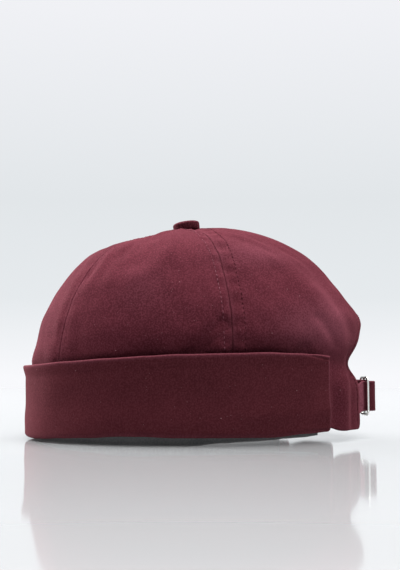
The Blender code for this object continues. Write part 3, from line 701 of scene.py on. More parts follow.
def seamRelief(distance, along, row):
    # rolled edge; and doubled cloth up to the stitch row, a pinched line at the row and puckers between
    wholeTurn = 2.0 * math.pi
    rolled = crown["seamEdge"] * (quarterRound(distance / crown["seamEdge"]) - 1.0)
    pad = crown["seamPad"] * (1.0 - smoothStep((distance - row + crown["padStart"]) / crown["padFade"]))
    pinch = 1.0 - crown["pinch"] + crown["pinch"] * np.cos(wholeTurn * along / crown["pitch"])
    dip = -crown["rowDip"] * bell((distance - row) / crown["rowWidth"]) * pinch
    drift = crown["puckerDrift"] * np.sin(wholeTurn * along / crown["puckerLong"])
    swing = np.sin(wholeTurn * along / crown["puckerStep"] + drift)
    across = np.clip(distance / (row + crown["puckerPast"]), 0.0, 1.0)
    return rolled, pad + dip + crown["pucker"] * swing * np.sin(math.pi * across)


def crownSway(azimuth, along):
    # soft unevenness of the cloth, the same function on every panel so that it runs on across the seams
    around = np.radians(turnBetween(azimuth, 0.0)) * crown["roundRadius"]
    broad = crown["sway"] * ripple(around, along, *crown["swayWaves"])
    return broad + crown["fineSway"] * ripple(around, along, *crown["fineWaves"])


def seamDistances(width):
    # places of a row's columns as shares of its width: close together near both seams, even between
    full = crown["seamZone"]
    zone = np.minimum(full, crown["zoneShare"] * width)[:, None]
    onwards = np.arange(crown["zoneStart"], full - 0.0001, crown["zoneStep"])
    near = np.concatenate((np.array(crown["edgeSteps"]) * mm, onwards)) / full
    middleCount = int(round((width.max() - 2.0 * full) / crown["columnStep"]))
    middle = np.linspace(0.0, 1.0, middleCount + 1)[None, :]
    width = width[:, None]
    left = near[None, :] * zone
    between = zone + middle * (width - 2.0 * zone)
    return np.concatenate((left, between, width - left[:, ::-1]), axis=1) / width


def cornerWidth(height, rim):
    # how much wider the opening is in its rounded lower corners
    return arch["corner"] * (1.0 - quarterRound((height - rim) / arch["corner"]))


def archWidth(height, rim):
    # half the opening's width: straight up to the spring line, then an ellipse, with rounded lower corners
    rise = np.clip((height - arch["spring"]) / (arch["top"] - arch["spring"]), 0.0, 1.0)
    return arch["halfWidth"] * np.sqrt(1.0 - rise**2) + cornerWidth(height, rim)


def archDistance(across, height, rim):
    # how far a point seen from the back is from the opening's edge: over the ellipse its excess by its slope
    tall = arch["top"] - arch["spring"]
    over = np.maximum(height - arch["spring"], 0.0)
    ellipse = np.hypot(across / arch["halfWidth"], over / tall)
    slope = np.hypot(across / arch["halfWidth"] ** 2, over / tall**2) / np.maximum(ellipse, 1e-6)
    above = (ellipse - 1.0) / np.maximum(slope, 1e-6)
    beside = np.abs(across) - arch["halfWidth"] - cornerWidth(height, rim)
    return np.maximum(np.where(height > arch["spring"], above, beside), 0.0)


def edgeAzimuth(rise, isOutside, rounds):
    # azimuth of the opening's edge between 120 and 180 at each rise, or 180 above it, found by halving
    low, high = np.full(rise.shape, 120.0), np.full(rise.shape, 180.0)
    return halving(low, high, lambda azimuth: isOutside(azimuth, crownPoint(azimuth, rise, 0.0)), rounds)[1]


def archAzimuth(rises):
    # for each rise the azimuth where the crown is as wide as the opening
    def isOutside(azimuth, point):
        # the crown's point is further across than the opening's edge at its height
        return point[:, 0] > archWidth(point[:, 2], rimHeight(azimuth))

    return edgeAzimuth(rises, isOutside, rounds=36)


def evenRises(azimuth, step):
    # rises in even steps of the length up the crown
    rises, lengths = lengthUp(azimuth)
    count = int(round(lengths[-1] / step))
    return np.interp(np.linspace(0.0, lengths[-1], count + 1), lengths, rises)


def lineAtBack(steps):
    # lowest rises of the line up the back, with their heights, which climb all the way
    rises = lengthUp(180.0)[0][:steps]
    return rises, smoothCrown(np.full(rises.shape, 180.0), rises)[1]


def backRises():
    # rows close in on the opening's top like the sine of an even angle, then lie close over the hem
    rises, lengths = lengthUp(180.0)
    climbing, heights = lineAtBack(steps=700)
    rim = heights[0]
    straight = np.linspace(rim, arch["spring"], arch["straightRows"])[1:-1]
    straight = np.concatenate((rim + np.array(arch["footSteps"]) * mm, straight))
    quarter = np.linspace(0.0, math.pi / 2.0, arch["curvedRows"])
    curved = arch["spring"] + (arch["top"] - arch["spring"]) * np.sin(quarter)
    low = np.interp(np.concatenate((straight, curved)), heights, climbing)
    reached = np.interp(low[-1], rises, lengths)
    hem = reached + np.arange(1, arch["hemRows"] + 1) * arch["hemStep"]
    rest = np.linspace(hem[-1], lengths[-1], int((lengths[-1] - hem[-1]) / crown["rowStep"]))[1:]
    return np.concatenate((low, np.interp(np.concatenate((hem, rest)), lengths, rises)))


def isNarrow(seam):
    # the seams beside the front panel are the narrow ones
    return abs(seam) == crown["frontSeam"]


def backSide(seam):
    # the sign of a turn from the seam towards the back
    return 1.0 if seam > 0.0 else -1.0


def rowDistance(seam, towardsBack):
    # how far a seam's stitch row is from it, on the side towards the back or on the other
    if isNarrow(seam):
        return crown["narrowRow"]
    return crown["backRow"] if towardsBack and seam != 180.0 else crown["frontRow"]


def allSeamsRelief(azimuth, radius, along):
    # the lowest of the rolled edges, and the sum of the other relief within each seam's zone
    rolled, raised = np.zeros(radius.shape), np.zeros(radius.shape)
    for seam in seams:
        turn = turnBetween(azimuth, seam)
        distance = np.abs(np.radians(turn)) * radius
        row = np.where(turn * backSide(seam) > 0.0, rowDistance(seam, True), rowDistance(seam, False))
        edge, relief = seamRelief(distance, along, row)
        relief = relief * (crown["narrowRelief"] if isNarrow(seam) else 1.0)
        rolled = np.minimum(rolled, edge)
        raised = raised + np.where(distance < crown["seamZone"], relief, 0.0)
    return rolled, raised


def rowRelief(azimuth, rise, along):
    # everything on the outer face except an opening's hem
    radius, height = smoothCrown(azimuth, rise)
    rolled, raised = allSeamsRelief(azimuth, radius, along)
    above = grownAbove(height)
    grown = above * smoothStep((radius - crown["poleStart"]) / crown["poleFade"])
    sway = crownSway(azimuth, along)
    free = smoothStep((np.abs(azimuth) - cuff["end"] - crown["freeStart"]) / crown["freeFade"])
    crease = creaseDepth(azimuth, height) * np.maximum(above, free)
    # the crown turns a soft corner at the seams beside its front panel
    turned = np.abs(turnBetween(azimuth, 0.0))
    corner = np.radians(np.abs(turned - crown["frontSeam"])) * radius
    tent = crown["cornerRise"] * np.maximum(1.0 - corner / crown["cornerReach"], 0.0) * grown
    # and is drawn in by the cuff's top edge
    held = 1.0 - smoothStep((turned - cuff["end"] + crown["heldFade"]) / crown["heldFade"])
    over = height - cuffTop(azimuth) + crown["squeezeBelow"]
    squeeze = crown["squeeze"] * bell(over / crown["squeezeReach"])
    return (
        rolled + grown * raised + np.where(sway > 0.0, above, 1.0) * sway
        - crease + tent - squeeze * held * above
    )


def archHem(azimuth, rise, height):
    # the opening's hem: what it adds to the outer and to the inner face, and its wear
    rough = crownPoint(azimuth, rise, 0.0)
    distance = archDistance(rough[..., 0], rough[..., 2], rimHeight(azimuth))
    rolled = arch["edge"] * (quarterRound(distance / arch["edge"]) - 1.0)
    doubled = 1.0 - smoothStep((distance - arch["hem"] + arch["hemStart"]) / arch["hemFade"])
    dip = -arch["rowDip"] * bell((distance - arch["row"]) / crown["rowWidth"])
    shown = smoothStep((height - rimHeight(azimuth)) / arch["shownTall"])
    outside = rolled + (arch["hemPad"] * doubled + dip) * shown
    inside = -arch["padInside"] * arch["hemPad"] * doubled - arch["edgeInside"] * rolled
    return outside, inside, wornAt("arch", distance)


def crownPanel(start, end, side=1.0):
    # grid of a panel between two seams of the wearer's left; side -1 gives its partner on the right
    back = end == 180.0
    middle = (start + end) / 2.0
    rises = backRises() if back else evenRises(middle, crown["rowStep"])
    limit = archAzimuth(rises) if back else np.full(rises.shape, end)
    radius = smoothCrown(np.full(rises.shape, middle), rises)[0]
    margin = np.degrees(crown["seamGap"] / radius)
    first = start + margin
    last = np.where(limit < 179.99, limit, end - margin) if back else limit - margin
    share = seamDistances(np.radians(end - start) * radius)
    azimuth = first[:, None] + share * (last - first)[:, None]
    rise = np.repeat(rises[:, None], share.shape[1], axis=1)
    rowRise, rowLength = lengthUp(start)
    along = np.interp(rise, rowRise, rowLength)
    outwards = rowRelief(side * azimuth, rise, along)
    inwards = np.full(azimuth.shape, -crown["cloth"])
    localRadius, height = smoothCrown(azimuth, rise)
    wearAndPaintedLight = wornAt("seam", np.radians(azimuth - start) * localRadius)
    if back:
        outside, inside, wornAndLit = archHem(azimuth, rise, height)
        outwards = outwards + outside
        inwards = inwards + inside
        wearAndPaintedLight = np.maximum(wearAndPaintedLight, wornAndLit)
    else:
        wearAndPaintedLight = wearAndPaintedLight + wornAt("seam", np.radians(end - azimuth) * localRadius)
    # painted light: a little lighter where light falls on the folds that stand out
    up = heightShare(azimuth, height)
    for place, around, level, tall, paintedShare in paintedLightPatches:
        wearAndPaintedLight = wearAndPaintedLight + paintedShare * bell((azimuth - place) / around) * bell((up - level) / tall)
    # rounded in at its foot, and its wear and painted light kept only where it shows
    foot = quarterRound((height - rimHeight(azimuth)) / crown["footTall"])
    outwards = outwards - crown["footIn"] * (1.0 - foot)
    wearAndPaintedLight = wearAndPaintedLight * grownAbove(height + crown["bareRise"] * (np.abs(azimuth) > cuff["end"]))
    outer = crownPoint(side * azimuth, rise, outwards)
    inner = crownPoint(side * azimuth, rise, inwards)
    centre = side * np.radians(azimuth - middle) * localRadius
    grids = outer, inner, np.stack((centre, along), axis=-1), wearAndPaintedLight
    # on the right the columns run the other way, so that the faces still point out
    return grids if side > 0.0 else tuple(grid[:, ::-1].copy() for grid in grids)


def makeCrown():
    # the front panel runs across the middle, the others in pairs
    front, side = crown["frontSeam"], crown["sideSeam"]
    grids = {
        "front_panel": crownPanel(-front, front),
        "left_side_panel": crownPanel(front, side),
        "right_side_panel": crownPanel(front, side, -1.0),
        "left_back_panel": crownPanel(side, 180.0),
        "right_back_panel": crownPanel(side, 180.0, -1.0),
    }
    for node, grid in grids.items():
        piece = shellPiece(f"{node}_cloth", *grid, crownTwill)
        settle(piece, "crown_twill", node)
        print("docker beanie:", node, len(piece.data.polygons), "faces")


makeCrown()


def standOff(azimuth, share):
    # gap between crown and cuff: its table's columns mixed by front, side and, from 90 degrees on, end
    front = facing(azimuth)[0]
    end = np.maximum((np.abs(azimuth) - 90.0) / (cuff["end"] - 90.0), 0.0) ** 2
    parts = front * eased(cuffStand, share, 1) + (1.0 - front - end) * eased(cuffStand, share, 2)
    return cuff["gap"] + cuff["flare"] * (parts + end * eased(cuffStand, share, 3))


def cuffSection(azimuth, foot, turn, share):
    # middle line of the section: along the foot, round the fold, up the wall
    half = cuff["thickness"] / 2.0
    low = foldLift(azimuth)
    around = np.radians(azimuth) * crown["roundRadius"]
    swell = cuff["sway"] * ripple(around, share * cuff["swayTall"], *cuff["swayWaves"])
    swell = swell * smoothStep(share / cuff["swayStart"])
    swell = np.where(swell < 0.0, swell * cuff["swayInwards"], swell)
    face = standOff(azimuth, share) + cuff["thickness"] + swell
    centreOut = face - cuff["roll"]
    out = centreOut + (cuff["roll"] - half) * np.sin(turn)
    out = np.where(foot < 1.0, -crown["cloth"] + (centreOut + crown["cloth"]) * foot, out)
    height = low + cuff["roll"] - (cuff["roll"] - half) * np.cos(turn)
    edge = cuffTop(azimuth) + cuff["edgeSway"] * ripple(around, 0.0, *cuff["edgeWaves"])
    height = height + share * (edge - low - cuff["roll"])
    return out, height


def makeCuff():
    # the section carried round the crown: columns closer near the ends, rows closer at the fold and the top
    half = cuff["thickness"] / 2.0
    radius = crown["roundRadius"]
    quarter = math.pi / 2.0
    ends = np.array(cuff["endSteps"]) * mm
    length = math.radians(2.0 * cuff["end"]) * radius
    between = np.linspace(ends[-1], length - ends[-1], cuff["columns"])[1:-1]
    azimuth = np.degrees(np.concatenate((ends, between, length - ends[::-1])) / radius) - cuff["end"]
    # rows along the foot, round the fold and up the wall
    footPlaces = np.linspace(0.0, 1.0, cuff["footRows"])
    turns = np.linspace(0.0, quarter, cuff["foldRows"])[1:]
    fromTop = np.array(cuff["topSteps"]) * mm / cuff["wall"]
    upwards = np.linspace(0.0, 1.0 - fromTop[-1], cuff["wallRows"])[1:]
    shares = np.concatenate((upwards, 1.0 - fromTop[-2::-1]))
    foot = np.concatenate((footPlaces, np.ones(len(turns) + len(shares))))
    turn = np.concatenate((np.zeros(len(footPlaces)), turns, np.full(len(shares), quarter)))
    share = np.concatenate((np.zeros(len(footPlaces) + len(turns)), shares))
    azimuthGrid = np.repeat(azimuth[None, :], len(share), axis=0)
    footGrid, turnGrid, shareGrid = (
        np.repeat(row[:, None], len(azimuth), axis=1) for row in (foot, turn, share)
    )
    out, height = cuffSection(azimuthGrid, footGrid, turnGrid, shareGrid)
    middle = wallFace(azimuthGrid, out, height)
    # the section's own normal, from its slope
    slopeOut = np.gradient(out, axis=0)
    slopeUp = np.gradient(height, axis=0)
    size = np.hypot(slopeOut, slopeUp)
    normalX, normalY = wallNormal(azimuthGrid)
    normalOut, normalUp = slopeUp / size, -slopeOut / size
    normal = np.stack((normalX * normalOut, normalY * normalOut, normalUp), axis=-1)
    fromEnd = np.radians(cuff["end"] - np.abs(azimuthGrid)) * radius
    fromTopEdge = (1.0 - shareGrid) * cuff["wall"]
    # both faces close in round the folded edges, and a crease runs down from the top towards each end
    thick = half * closing(fromEnd, half) * closing(fromTopEdge, half)
    towardsEnd = (np.abs(azimuthGrid) - cuff["creaseStart"]) / (cuff["end"] - cuff["creaseStart"])
    toEnd = np.clip(towardsEnd, 0.0, 1.0)
    fromCrease = fromTopEdge - cuff["creaseBelow"] - cuff["creaseRun"] * toEnd
    grown = smoothStep(toEnd * cuff["creaseGrowth"])
    crease = cuff["creaseDepth"] * grown * bell(fromCrease / cuff["creaseWidth"])
    outer = middle + normal * (thick - crease)[..., None]
    inner = middle - normal * thick[..., None]
    wearAndPaintedLight = np.maximum(wornAt("cuffTop", fromTopEdge), wornAt("cuffEnd", fromEnd))
    wearAndPaintedLight = np.maximum(wearAndPaintedLight, wornAt("cuffFold", turnGrid))
    # the cloth is laid flat with the section's length at one column near the front
    column = 200
    section = lengthsAlong(out[:, column], height[:, column])
    sectionGrid = np.repeat(section[:, None], len(azimuth), axis=1)
    uv = np.stack((np.radians(azimuthGrid) * radius, sectionGrid), axis=-1)
    settle(shellPiece("cuff_cloth", outer, inner, uv, wearAndPaintedLight, cuffTwill), "cuff_twill", "cuff")


makeCuff()
print("docker beanie: cuff made")


def makeSweatband():
    # a standing strip inside the crown, both faces closing in at its edges, with hem lines beside them
    half = sweatband["wall"] / 2.0
    radius = crown["roundRadius"]
    edge = np.array(sweatband["edgeSteps"]) * mm
    tall = sweatband["height"]
    length = math.radians(2.0 * sweatband["end"]) * radius
    inset = sweatband["columnInset"]
    onwards = np.linspace(inset, length - inset, sweatband["columns"])
    lowest, highest = sweatband["rowInset"]
    upwards = np.linspace(lowest, tall - highest, sweatband["rows"])
    along = np.concatenate((edge, onwards, length - edge[::-1]))
    up = np.concatenate((edge, upwards, tall - edge[::-1]))
    azimuth, level = np.meshgrid(np.degrees(along / radius) - sweatband["end"], up)
    low = sweatband["lift"] * eased(bandEdge, azimuth, 1)
    height = low + level * (tall - low) / tall
    fromEnd = np.radians(sweatband["end"] - np.abs(azimuth)) * radius
    fromEdge = np.minimum(level, tall - level)
    hem = -sweatband["hemDip"] * bell((fromEdge - sweatband["hem"]) / sweatband["hemWidth"])
    thick = half * closing(fromEnd, half) * closing(fromEdge, half)
    middle = -(crown["cloth"] + sweatband["room"] + half)
    outer = wallFace(azimuth, middle + thick + hem, height)
    inner = wallFace(azimuth, middle - thick - hem, height)
    uv = np.stack((np.radians(azimuth) * radius, height), axis=-1)
    piece = shellPiece("sweatband_cloth", outer, inner, uv, wornAt("sweatband", fromEdge), bandCotton)
    settle(piece, "sweatband_cotton", "sweatband")


makeSweatband()


button = {
    "radius": 0.0083, "height": 0.0060, "tilt": 8.7, "edge": 0.0040, "fullness": 0.50, "undercut": 0.0003,
    "stemRadius": 0.0018, "stemLength": 0.0050, "pleats": 17, "pleatDepth": 0.00016, "pleatStart": 0.55,
    "wornAt": 0.93, "columnStep": 4.0,
    "room": 0.0035,    # how far from it the seams' stitches end
}


def makeButton():
    # a dome turned round its axis, its cloth drawn into small pleats towards the edge, with the stem below
    whole, edge, stem = button["radius"], button["edge"], button["stemRadius"]
    steps = np.linspace(0.0, math.pi / 2.0, 26)[1:]
    out = whole * np.sin(steps) ** button["fullness"]
    up = edge + (button["height"] - edge) * np.cos(steps)
    below = np.array((
        (whole - 0.00001, edge * 0.55), (whole - 0.0001, edge * 0.20), (whole - button["undercut"], 0.0),
        (stem * 2.0, 0.0), (stem, 0.0), (stem, -button["stemLength"] * 0.5), (stem, -button["stemLength"]),
    ))
    out = np.concatenate((out, below[:, 0]))[::-1, None]
    up = np.concatenate((up, below[:, 1]))[::-1, None]
    turn = np.radians(np.arange(0.0, 360.0, button["columnStep"]))[None, :]
    drift = 1.3 * np.sin(3.0 * turn) + 0.8 * np.sin(5.0 * turn + 1.0)
    swing = 0.5 + 0.5 * np.cos(button["pleats"] * turn + drift)
    drawn = smoothStep((out / whole - button["pleatStart"]) / 0.45) * (up > -0.0001)
    pleat = button["pleatDepth"] * swing**2 * drawn
    radius = out - pleat
    height = up - 0.5 * pleat
    tilt = math.radians(button["tilt"])
    localX, localY = radius * np.cos(turn), radius * np.sin(turn)
    points = np.stack((
        localX, localY * math.cos(tilt) - height * math.sin(tilt) + apexY,
        localY * math.sin(tilt) + height * math.cos(tilt),
    ), axis=-1)
    # its top is as high as the solid's
    points[..., 2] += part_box("top_button")[1].z - points[..., 2].max()
    uv = withEnds(np.stack((localX, localY), axis=-1))
    wearAndPaintedLight = np.broadcast_to(wornAt("button", out - whole * button["wornAt"]) * (up > 0.0), radius.shape)
    wearAndPaintedLight = withEnds(wearAndPaintedLight[..., None])[:, 0]
    faces = tubeFaces(*radius.shape)
    piece = makeMesh("top_button_cloth", withEnds(points), faces, uv, wearAndPaintedLight, buttonTwill)
    settle(piece, "button_twill", "top_button")


makeButton()
print("docker beanie: sweatband and button made")


strap = {
    "width": 0.0180, "thickness": 0.0014, "lowEdge": 0.0161, "slack": 0.0014, "room": 0.0016,
    "droop": 0.0045, "sinkStart": 0.0008, "sinkReach": 0.0062, "sinkShare": 0.6,
    "root": 146.0, "tip": 149.0, "margin": 1.0, "arrival": 2.0, "bulge": 0.0008,
    "stitch": 0.0019, "stitchDip": 0.00016, "stitchWidth": 0.00045, "pinch": 0.35,
    "wobble": 0.00012, "wobbleWaves": (0.030, 0.012),
    # painted light on the free end: how much, where it starts, how fast it comes in and how far from the
    # edges it holds
    "paintedLight": 0.9, "paintedLightStart": 0.0008, "paintedLightFade": 0.0010, "paintedLightEdge": 0.002,
    "paintedLightBefore": 30,        # columns before the free end starts to sink
    "columnStep": 0.0005, "rows": 34, "rowInset": 0.0012,
    "edgeSteps": (0.0, 0.06, 0.18, 0.36, 0.60, 0.90),    # mm from an edge
}
tab = {"thickness": 0.0012, "rise": 0.0008, "spread": 22.0}
buckle = {
    "wire": 0.0020, "slotRoom": 0.0015, "railRoom": 0.0011, "corner": 0.0030, "across": 0.0150,
    "stand": 0.0022, "wireSeen": 0.0016, "barShare": 0.98, "sides": 16, "cornerSteps": 11, "barRings": 9,
}


def azimuthBehind(across):
    # azimuth in the back half where the outline is so far across, found by halving
    def isWider(azimuth):
        # the outline's radius times the azimuth's sine is more than the distance across
        return outlineRadius(azimuth) * direction(azimuth)[0] > across

    return float(halving(90.0, 180.0, isWider, rounds=40)[0])


barRadius = buckle["wire"] / 2.0
cornerTurn = azimuthBehind(arch["halfWidth"])
strapRound = barRadius + cuff["gap"] + strap["thickness"] / 2.0
tabRound = barRadius + cuff["gap"] + tab["thickness"] / 2.0
strapOver = tabRound + tab["thickness"] / 2.0 + cuff["gap"] + strap["slack"] + strap["thickness"] / 2.0
barSpacing = strapRound + strapOver + buckle["slotRoom"]
dent = max(float(foldDepth(cornerTurn, strap["lowEdge"] + strap["width"] + tab["rise"])), 0.0)
strapInset = crown["cloth"] + strap["room"] + dent + strap["thickness"] / 2.0
tabOuter = strapInset + strap["thickness"] / 2.0 + cuff["gap"] + tab["thickness"] / 2.0
tabInner = tabOuter + tab["thickness"] + cuff["gap"]
buckleY = float(wallPoint(azimuthBehind(buckle["across"]), 0.0)[1]) + buckle["stand"]
middleBar = np.array((buckle["across"], buckleY))


def arcRound(centre, radius, side, start, end, steps):
    # a path's bend round a bar; side 1 has the bar on the path's left, -1 on its right
    heading = np.linspace(start, end, steps + 1)
    across, along = side * radius * np.sin(heading), side * radius * np.cos(heading)
    return np.stack((centre[0] + across, centre[1] - along), axis=-1)


def bend(start, startHeading, end, endHeading, steps):
    # Hermite curve between two points with a heading at each, both ends left out
    pull = math.dist(start, end)
    part = np.linspace(0.0, 1.0, steps + 1)[1:-1, None]
    leaving = np.array((math.cos(startHeading), math.sin(startHeading))) * pull
    arriving = np.array((math.cos(endHeading), math.sin(endHeading))) * pull
    return hermite(start, leaving, end, arriving, part)


def wallPath(start, end, inset):
    # path along the inside of the outline between two azimuths
    return np.stack(wallPoint(np.linspace(start, end, 9), -inset), axis=-1)


def headingOf(start, end):
    # angle of the way from one point to another
    return math.atan2(end[1] - start[1], end[0] - start[0])


def strapPath():
    # from the right panel under the far bar, over the tab's loop, under the near bar, behind the left panel
    farBar, nearBar = middleBar - (barSpacing, 0.0), middleBar + (barSpacing, 0.0)
    over = strapOver + strap["bulge"]
    steep = math.asin((strapRound + over) / barSpacing)
    edge = cornerTurn + strap["margin"]
    root = wallPath(-strap["root"], -edge, strapInset)
    tip = wallPath(edge, strap["tip"], strapInset)
    down = headingOf(nearBar, tip[0])
    arrival = math.radians(strap["arrival"])
    underFar = arcRound(farBar, strapRound, 1, arrival, steep, steps=10)
    overMiddle = arcRound(middleBar, over, -1, steep, -steep, steps=24)
    underNear = arcRound(nearBar, strapRound, 1, -steep, down, steps=10)
    span = bend(root[-1], headingOf(root[-2], root[-1]), underFar[0], arrival, steps=30)
    tuck = bend(underNear[-1], down, tip[0], headingOf(tip[0], tip[1]), steps=14)
    return np.concatenate((root, span, underFar, overMiddle, underNear, tuck, tip))


def tabPath():
    # one layer from its root to the middle bar, round it and back beside itself
    edge = cornerTurn + strap["margin"]
    outer = wallPath(strap["root"], edge, tabOuter)
    inner = wallPath(edge, strap["root"], tabInner)
    towards = headingOf(outer[-1], middleBar)
    spread = math.radians(tab["spread"])
    loop = arcRound(middleBar, tabRound, 1, towards - spread, towards + spread + math.pi, steps=24)
    reach = bend(outer[-1], headingOf(outer[-2], outer[-1]), loop[0], towards - spread, steps=14)
    back = bend(loop[-1], towards + spread + math.pi, inner[0], headingOf(inner[0], inner[1]), steps=14)
    return np.concatenate((outer, reach, loop, back, inner))


def evenPath(path):
    # the same path in even steps, each point then moved three times towards its neighbours
    lengths = lengthsAlong(*path.T)
    kept = np.concatenate(([True], np.diff(lengths) > 1e-6))
    lengths, path = lengths[kept], path[kept]
    places = np.linspace(0.0, lengths[-1], int(lengths[-1] / strap["columnStep"]))
    even = np.stack([np.interp(places, lengths, part) for part in path.T], axis=-1)
    for _ in range(3):
        even[1:-1] = 0.25 * even[:-2] + 0.5 * even[1:-1] + 0.25 * even[2:]
    return even, places


def ribbonPiece(name, path, places, lowEdges, thickness, seed, paintedLight):
    # a band standing on edge: path along its columns, height along its rows, faces closing in at the edges;
    # the last argument says how much painted light each column gets, lighter cloth standing in for the light
    # on the free end
    heading = unit(np.gradient(path, axis=0))
    right = np.stack((heading[:, 1], -heading[:, 0]), axis=-1)
    half = thickness / 2.0
    edge = np.array(strap["edgeSteps"]) * mm
    inside = np.linspace(strap["rowInset"], strap["width"] - strap["rowInset"], strap["rows"])
    up = np.concatenate((edge, inside, strap["width"] - edge[::-1]))[:, None]
    fromEdge = np.minimum(up, strap["width"] - up)
    fromEnd = np.minimum(places, places[-1] - places)[None, :]
    thick = half * closing(fromEdge, half) * closing(fromEnd, half)
    wave = np.cos(2.0 * math.pi * places / crown["pitch"])[None, :]
    pinch = 1.0 - strap["pinch"] + strap["pinch"] * wave
    dip = strap["stitchDip"] * bell((fromEdge - strap["stitch"]) / strap["stitchWidth"]) * pinch
    wobble = strap["wobble"] * ripple(places[None, :], up, seed, *strap["wobbleWaves"])
    height = lowEdges[None, :] + up

    def face(offset):
        # the middle line moved to its right by an offset
        across, along = path[:, 0] + right[:, 0] * offset, path[:, 1] + apexY + right[:, 1] * offset
        return np.stack((across, along, height), axis=-1)

    # edge wear, plus the painted light on the free end
    wearAndPaintedLight = wornAt("strap", fromEdge) + paintedLight[None, :] * closing(fromEdge, strap["paintedLightEdge"])
    uv = np.stack(np.broadcast_arrays(places[None, :], up), axis=-1)
    outer, inner = face(thick - dip + wobble), face(-(thick - dip - wobble))
    settle(shellPiece(f"{name}_cloth", outer, inner, uv, wearAndPaintedLight, strapTwill), "strap_twill", name)


def makeStraps():
    # the strap's free end sinks as soon as it is past the near bar, and from there on its cloth is lightened
    # with painted light that stands in for the light on it
    path, places = evenPath(strapPath())
    past = path[:, 0] - (buckle["across"] + barSpacing)
    last = np.arange(len(path)) > len(path) * strap["sinkShare"]
    sunk = smoothStep((past + strap["sinkStart"]) / strap["sinkReach"]) * last
    near = sunk + np.roll(sunk, -strap["paintedLightBefore"]) > 0.0
    paintedLight = strap["paintedLight"] * smoothStep((past + strap["paintedLightStart"]) / strap["paintedLightFade"]) * near
    low = strap["lowEdge"] - strap["droop"] * sunk
    ribbonPiece("long_strap", path, places, low, strap["thickness"], seed=41, paintedLight=paintedLight)
    path, places = evenPath(tabPath())
    level = np.full(len(path), strap["lowEdge"] + tab["rise"])
    ribbonPiece("buckle_tab", path, places, level, tab["thickness"], seed=43, paintedLight=0.0 * places)


makeStraps()


def tubeGrid(path, tangent, upward, radius):
    # a circle carried along a path
    side = np.cross(upward, tangent)
    turn = np.linspace(0.0, 2.0 * math.pi, buckle["sides"], endpoint=False)[None, :, None]
    return path[:, None, :] + radius * (np.cos(turn) * side[:, None, :] + np.sin(turn) * upward[:, None, :])


def makeBuckle():
    # a wire frame with rounded corners, and its middle bar let into both rails
    halfLength = barSpacing
    halfHeight = strap["width"] / 2.0 + buckle["railRoom"] + barRadius
    place = np.array((buckle["across"], buckleY + apexY, strap["lowEdge"] + strap["width"] / 2.0))
    corner, steps, rings = buckle["corner"], buckle["cornerSteps"], buckle["barRings"]
    corners = []
    for quarter, (signX, signZ) in enumerate(((1, 1), (-1, 1), (-1, -1), (1, -1))):
        turn = np.linspace(0.0, math.pi / 2.0, steps) + math.pi / 2.0 * quarter
        across = signX * (halfLength - corner) + corner * np.cos(turn)
        high = signZ * (halfHeight - corner) + corner * np.sin(turn)
        corners.append(np.stack((across, np.zeros(steps), high), axis=-1))
    path = np.concatenate(corners)
    tangent = unit(np.roll(path, -1, axis=0) - np.roll(path, 1, axis=0))
    outwards = (0.0, -1.0, 0.0)
    wire = buckle["wireSeen"] / 2.0
    frameGrid = tubeGrid(path, tangent, np.tile(outwards, (len(path), 1)), wire) + place
    bar = np.stack((np.zeros(rings), np.zeros(rings), np.linspace(-halfHeight, halfHeight, rings)), axis=-1)
    upright = np.tile((0.0, 0.0, 1.0), (rings, 1))
    barGrid = tubeGrid(bar, upright, np.tile(outwards, (rings, 1)), wire * buckle["barShare"]) + place
    framePoints = frameGrid.reshape(-1, 3)
    points = np.concatenate((framePoints, withEnds(barGrid)))
    # the frame closes on itself both ways
    ring = np.arange(len(framePoints)).reshape(len(path), buckle["sides"])
    ring = np.concatenate((ring, ring[:, :1]), axis=1)
    ring = np.concatenate((ring, ring[:1]), axis=0)
    faces = np.concatenate((gridFaces(ring), tubeFaces(rings, buckle["sides"]) + len(framePoints)))
    uv = np.stack((points[:, 0], points[:, 2]), axis=-1)
    piece = makeMesh("slide_buckle_metal", points, faces, uv, np.zeros(len(points)), nickel)
    settle(piece, "buckle_nickel", "slide_buckle")


makeBuckle()
print("docker beanie: straps and buckle made")


stitch = {
    "length": 0.0019, "radius": 0.00021, "sides": 6, "sink": 0.55, "arc": 1.5,
    "girth": (0.35, 0.85, 1.0, 1.0, 1.0, 0.85, 0.35),     # of each ring, as a share of the radius
    "aboveCuff": 0.0407, "aboveArch": 0.0787, "onHem": 0.55,
}


def stitchPiece(name, centres, tangents, normals, look):
    # one short thread per place: rings along a low arc whose ends go into the cloth
    radius, sides = stitch["radius"], stitch["sides"]
    girth = radius * np.array(stitch["girth"])
    rings = np.linspace(-1.0, 1.0, len(girth))
    turn = np.linspace(0.0, 2.0 * math.pi, sides, endpoint=False)
    across = np.cross(normals, tangents)
    arcUp = radius * stitch["sink"] - radius * stitch["arc"] * rings**2
    middle = centres[:, None, :] + tangents[:, None, :] * (rings * stitch["length"] / 2.0)[None, :, None]
    middle = middle + normals[:, None, :] * arcUp[None, :, None]
    points = (
        middle[:, :, None, :]
        + across[:, None, None, :] * (girth[:, None] * np.cos(turn))[None, :, :, None]
        + normals[:, None, None, :] * (girth[:, None] * np.sin(turn))[None, :, :, None]
    )
    # each thread is a closed tube, its ends' middles numbered last
    points = np.concatenate((points.reshape(len(centres), -1, 3), middle[:, :1], middle[:, -1:]), axis=1)
    firsts = np.arange(len(centres)) * points.shape[1]
    faces = (tubeFaces(len(girth), sides)[None] + firsts[:, None, None]).reshape(-1, 4)
    flat = points.reshape(-1, 3)
    uv = np.stack((flat[:, 0] + flat[:, 1], flat[:, 2]), axis=-1)
    settle(makeMesh(name, flat, faces, uv, np.zeros(len(flat)), look), "crown_twill")


def stitchPlaces(length):
    # places at the middle of each even step of a length
    return np.arange(0.5, length / crown["pitch"]) * crown["pitch"]


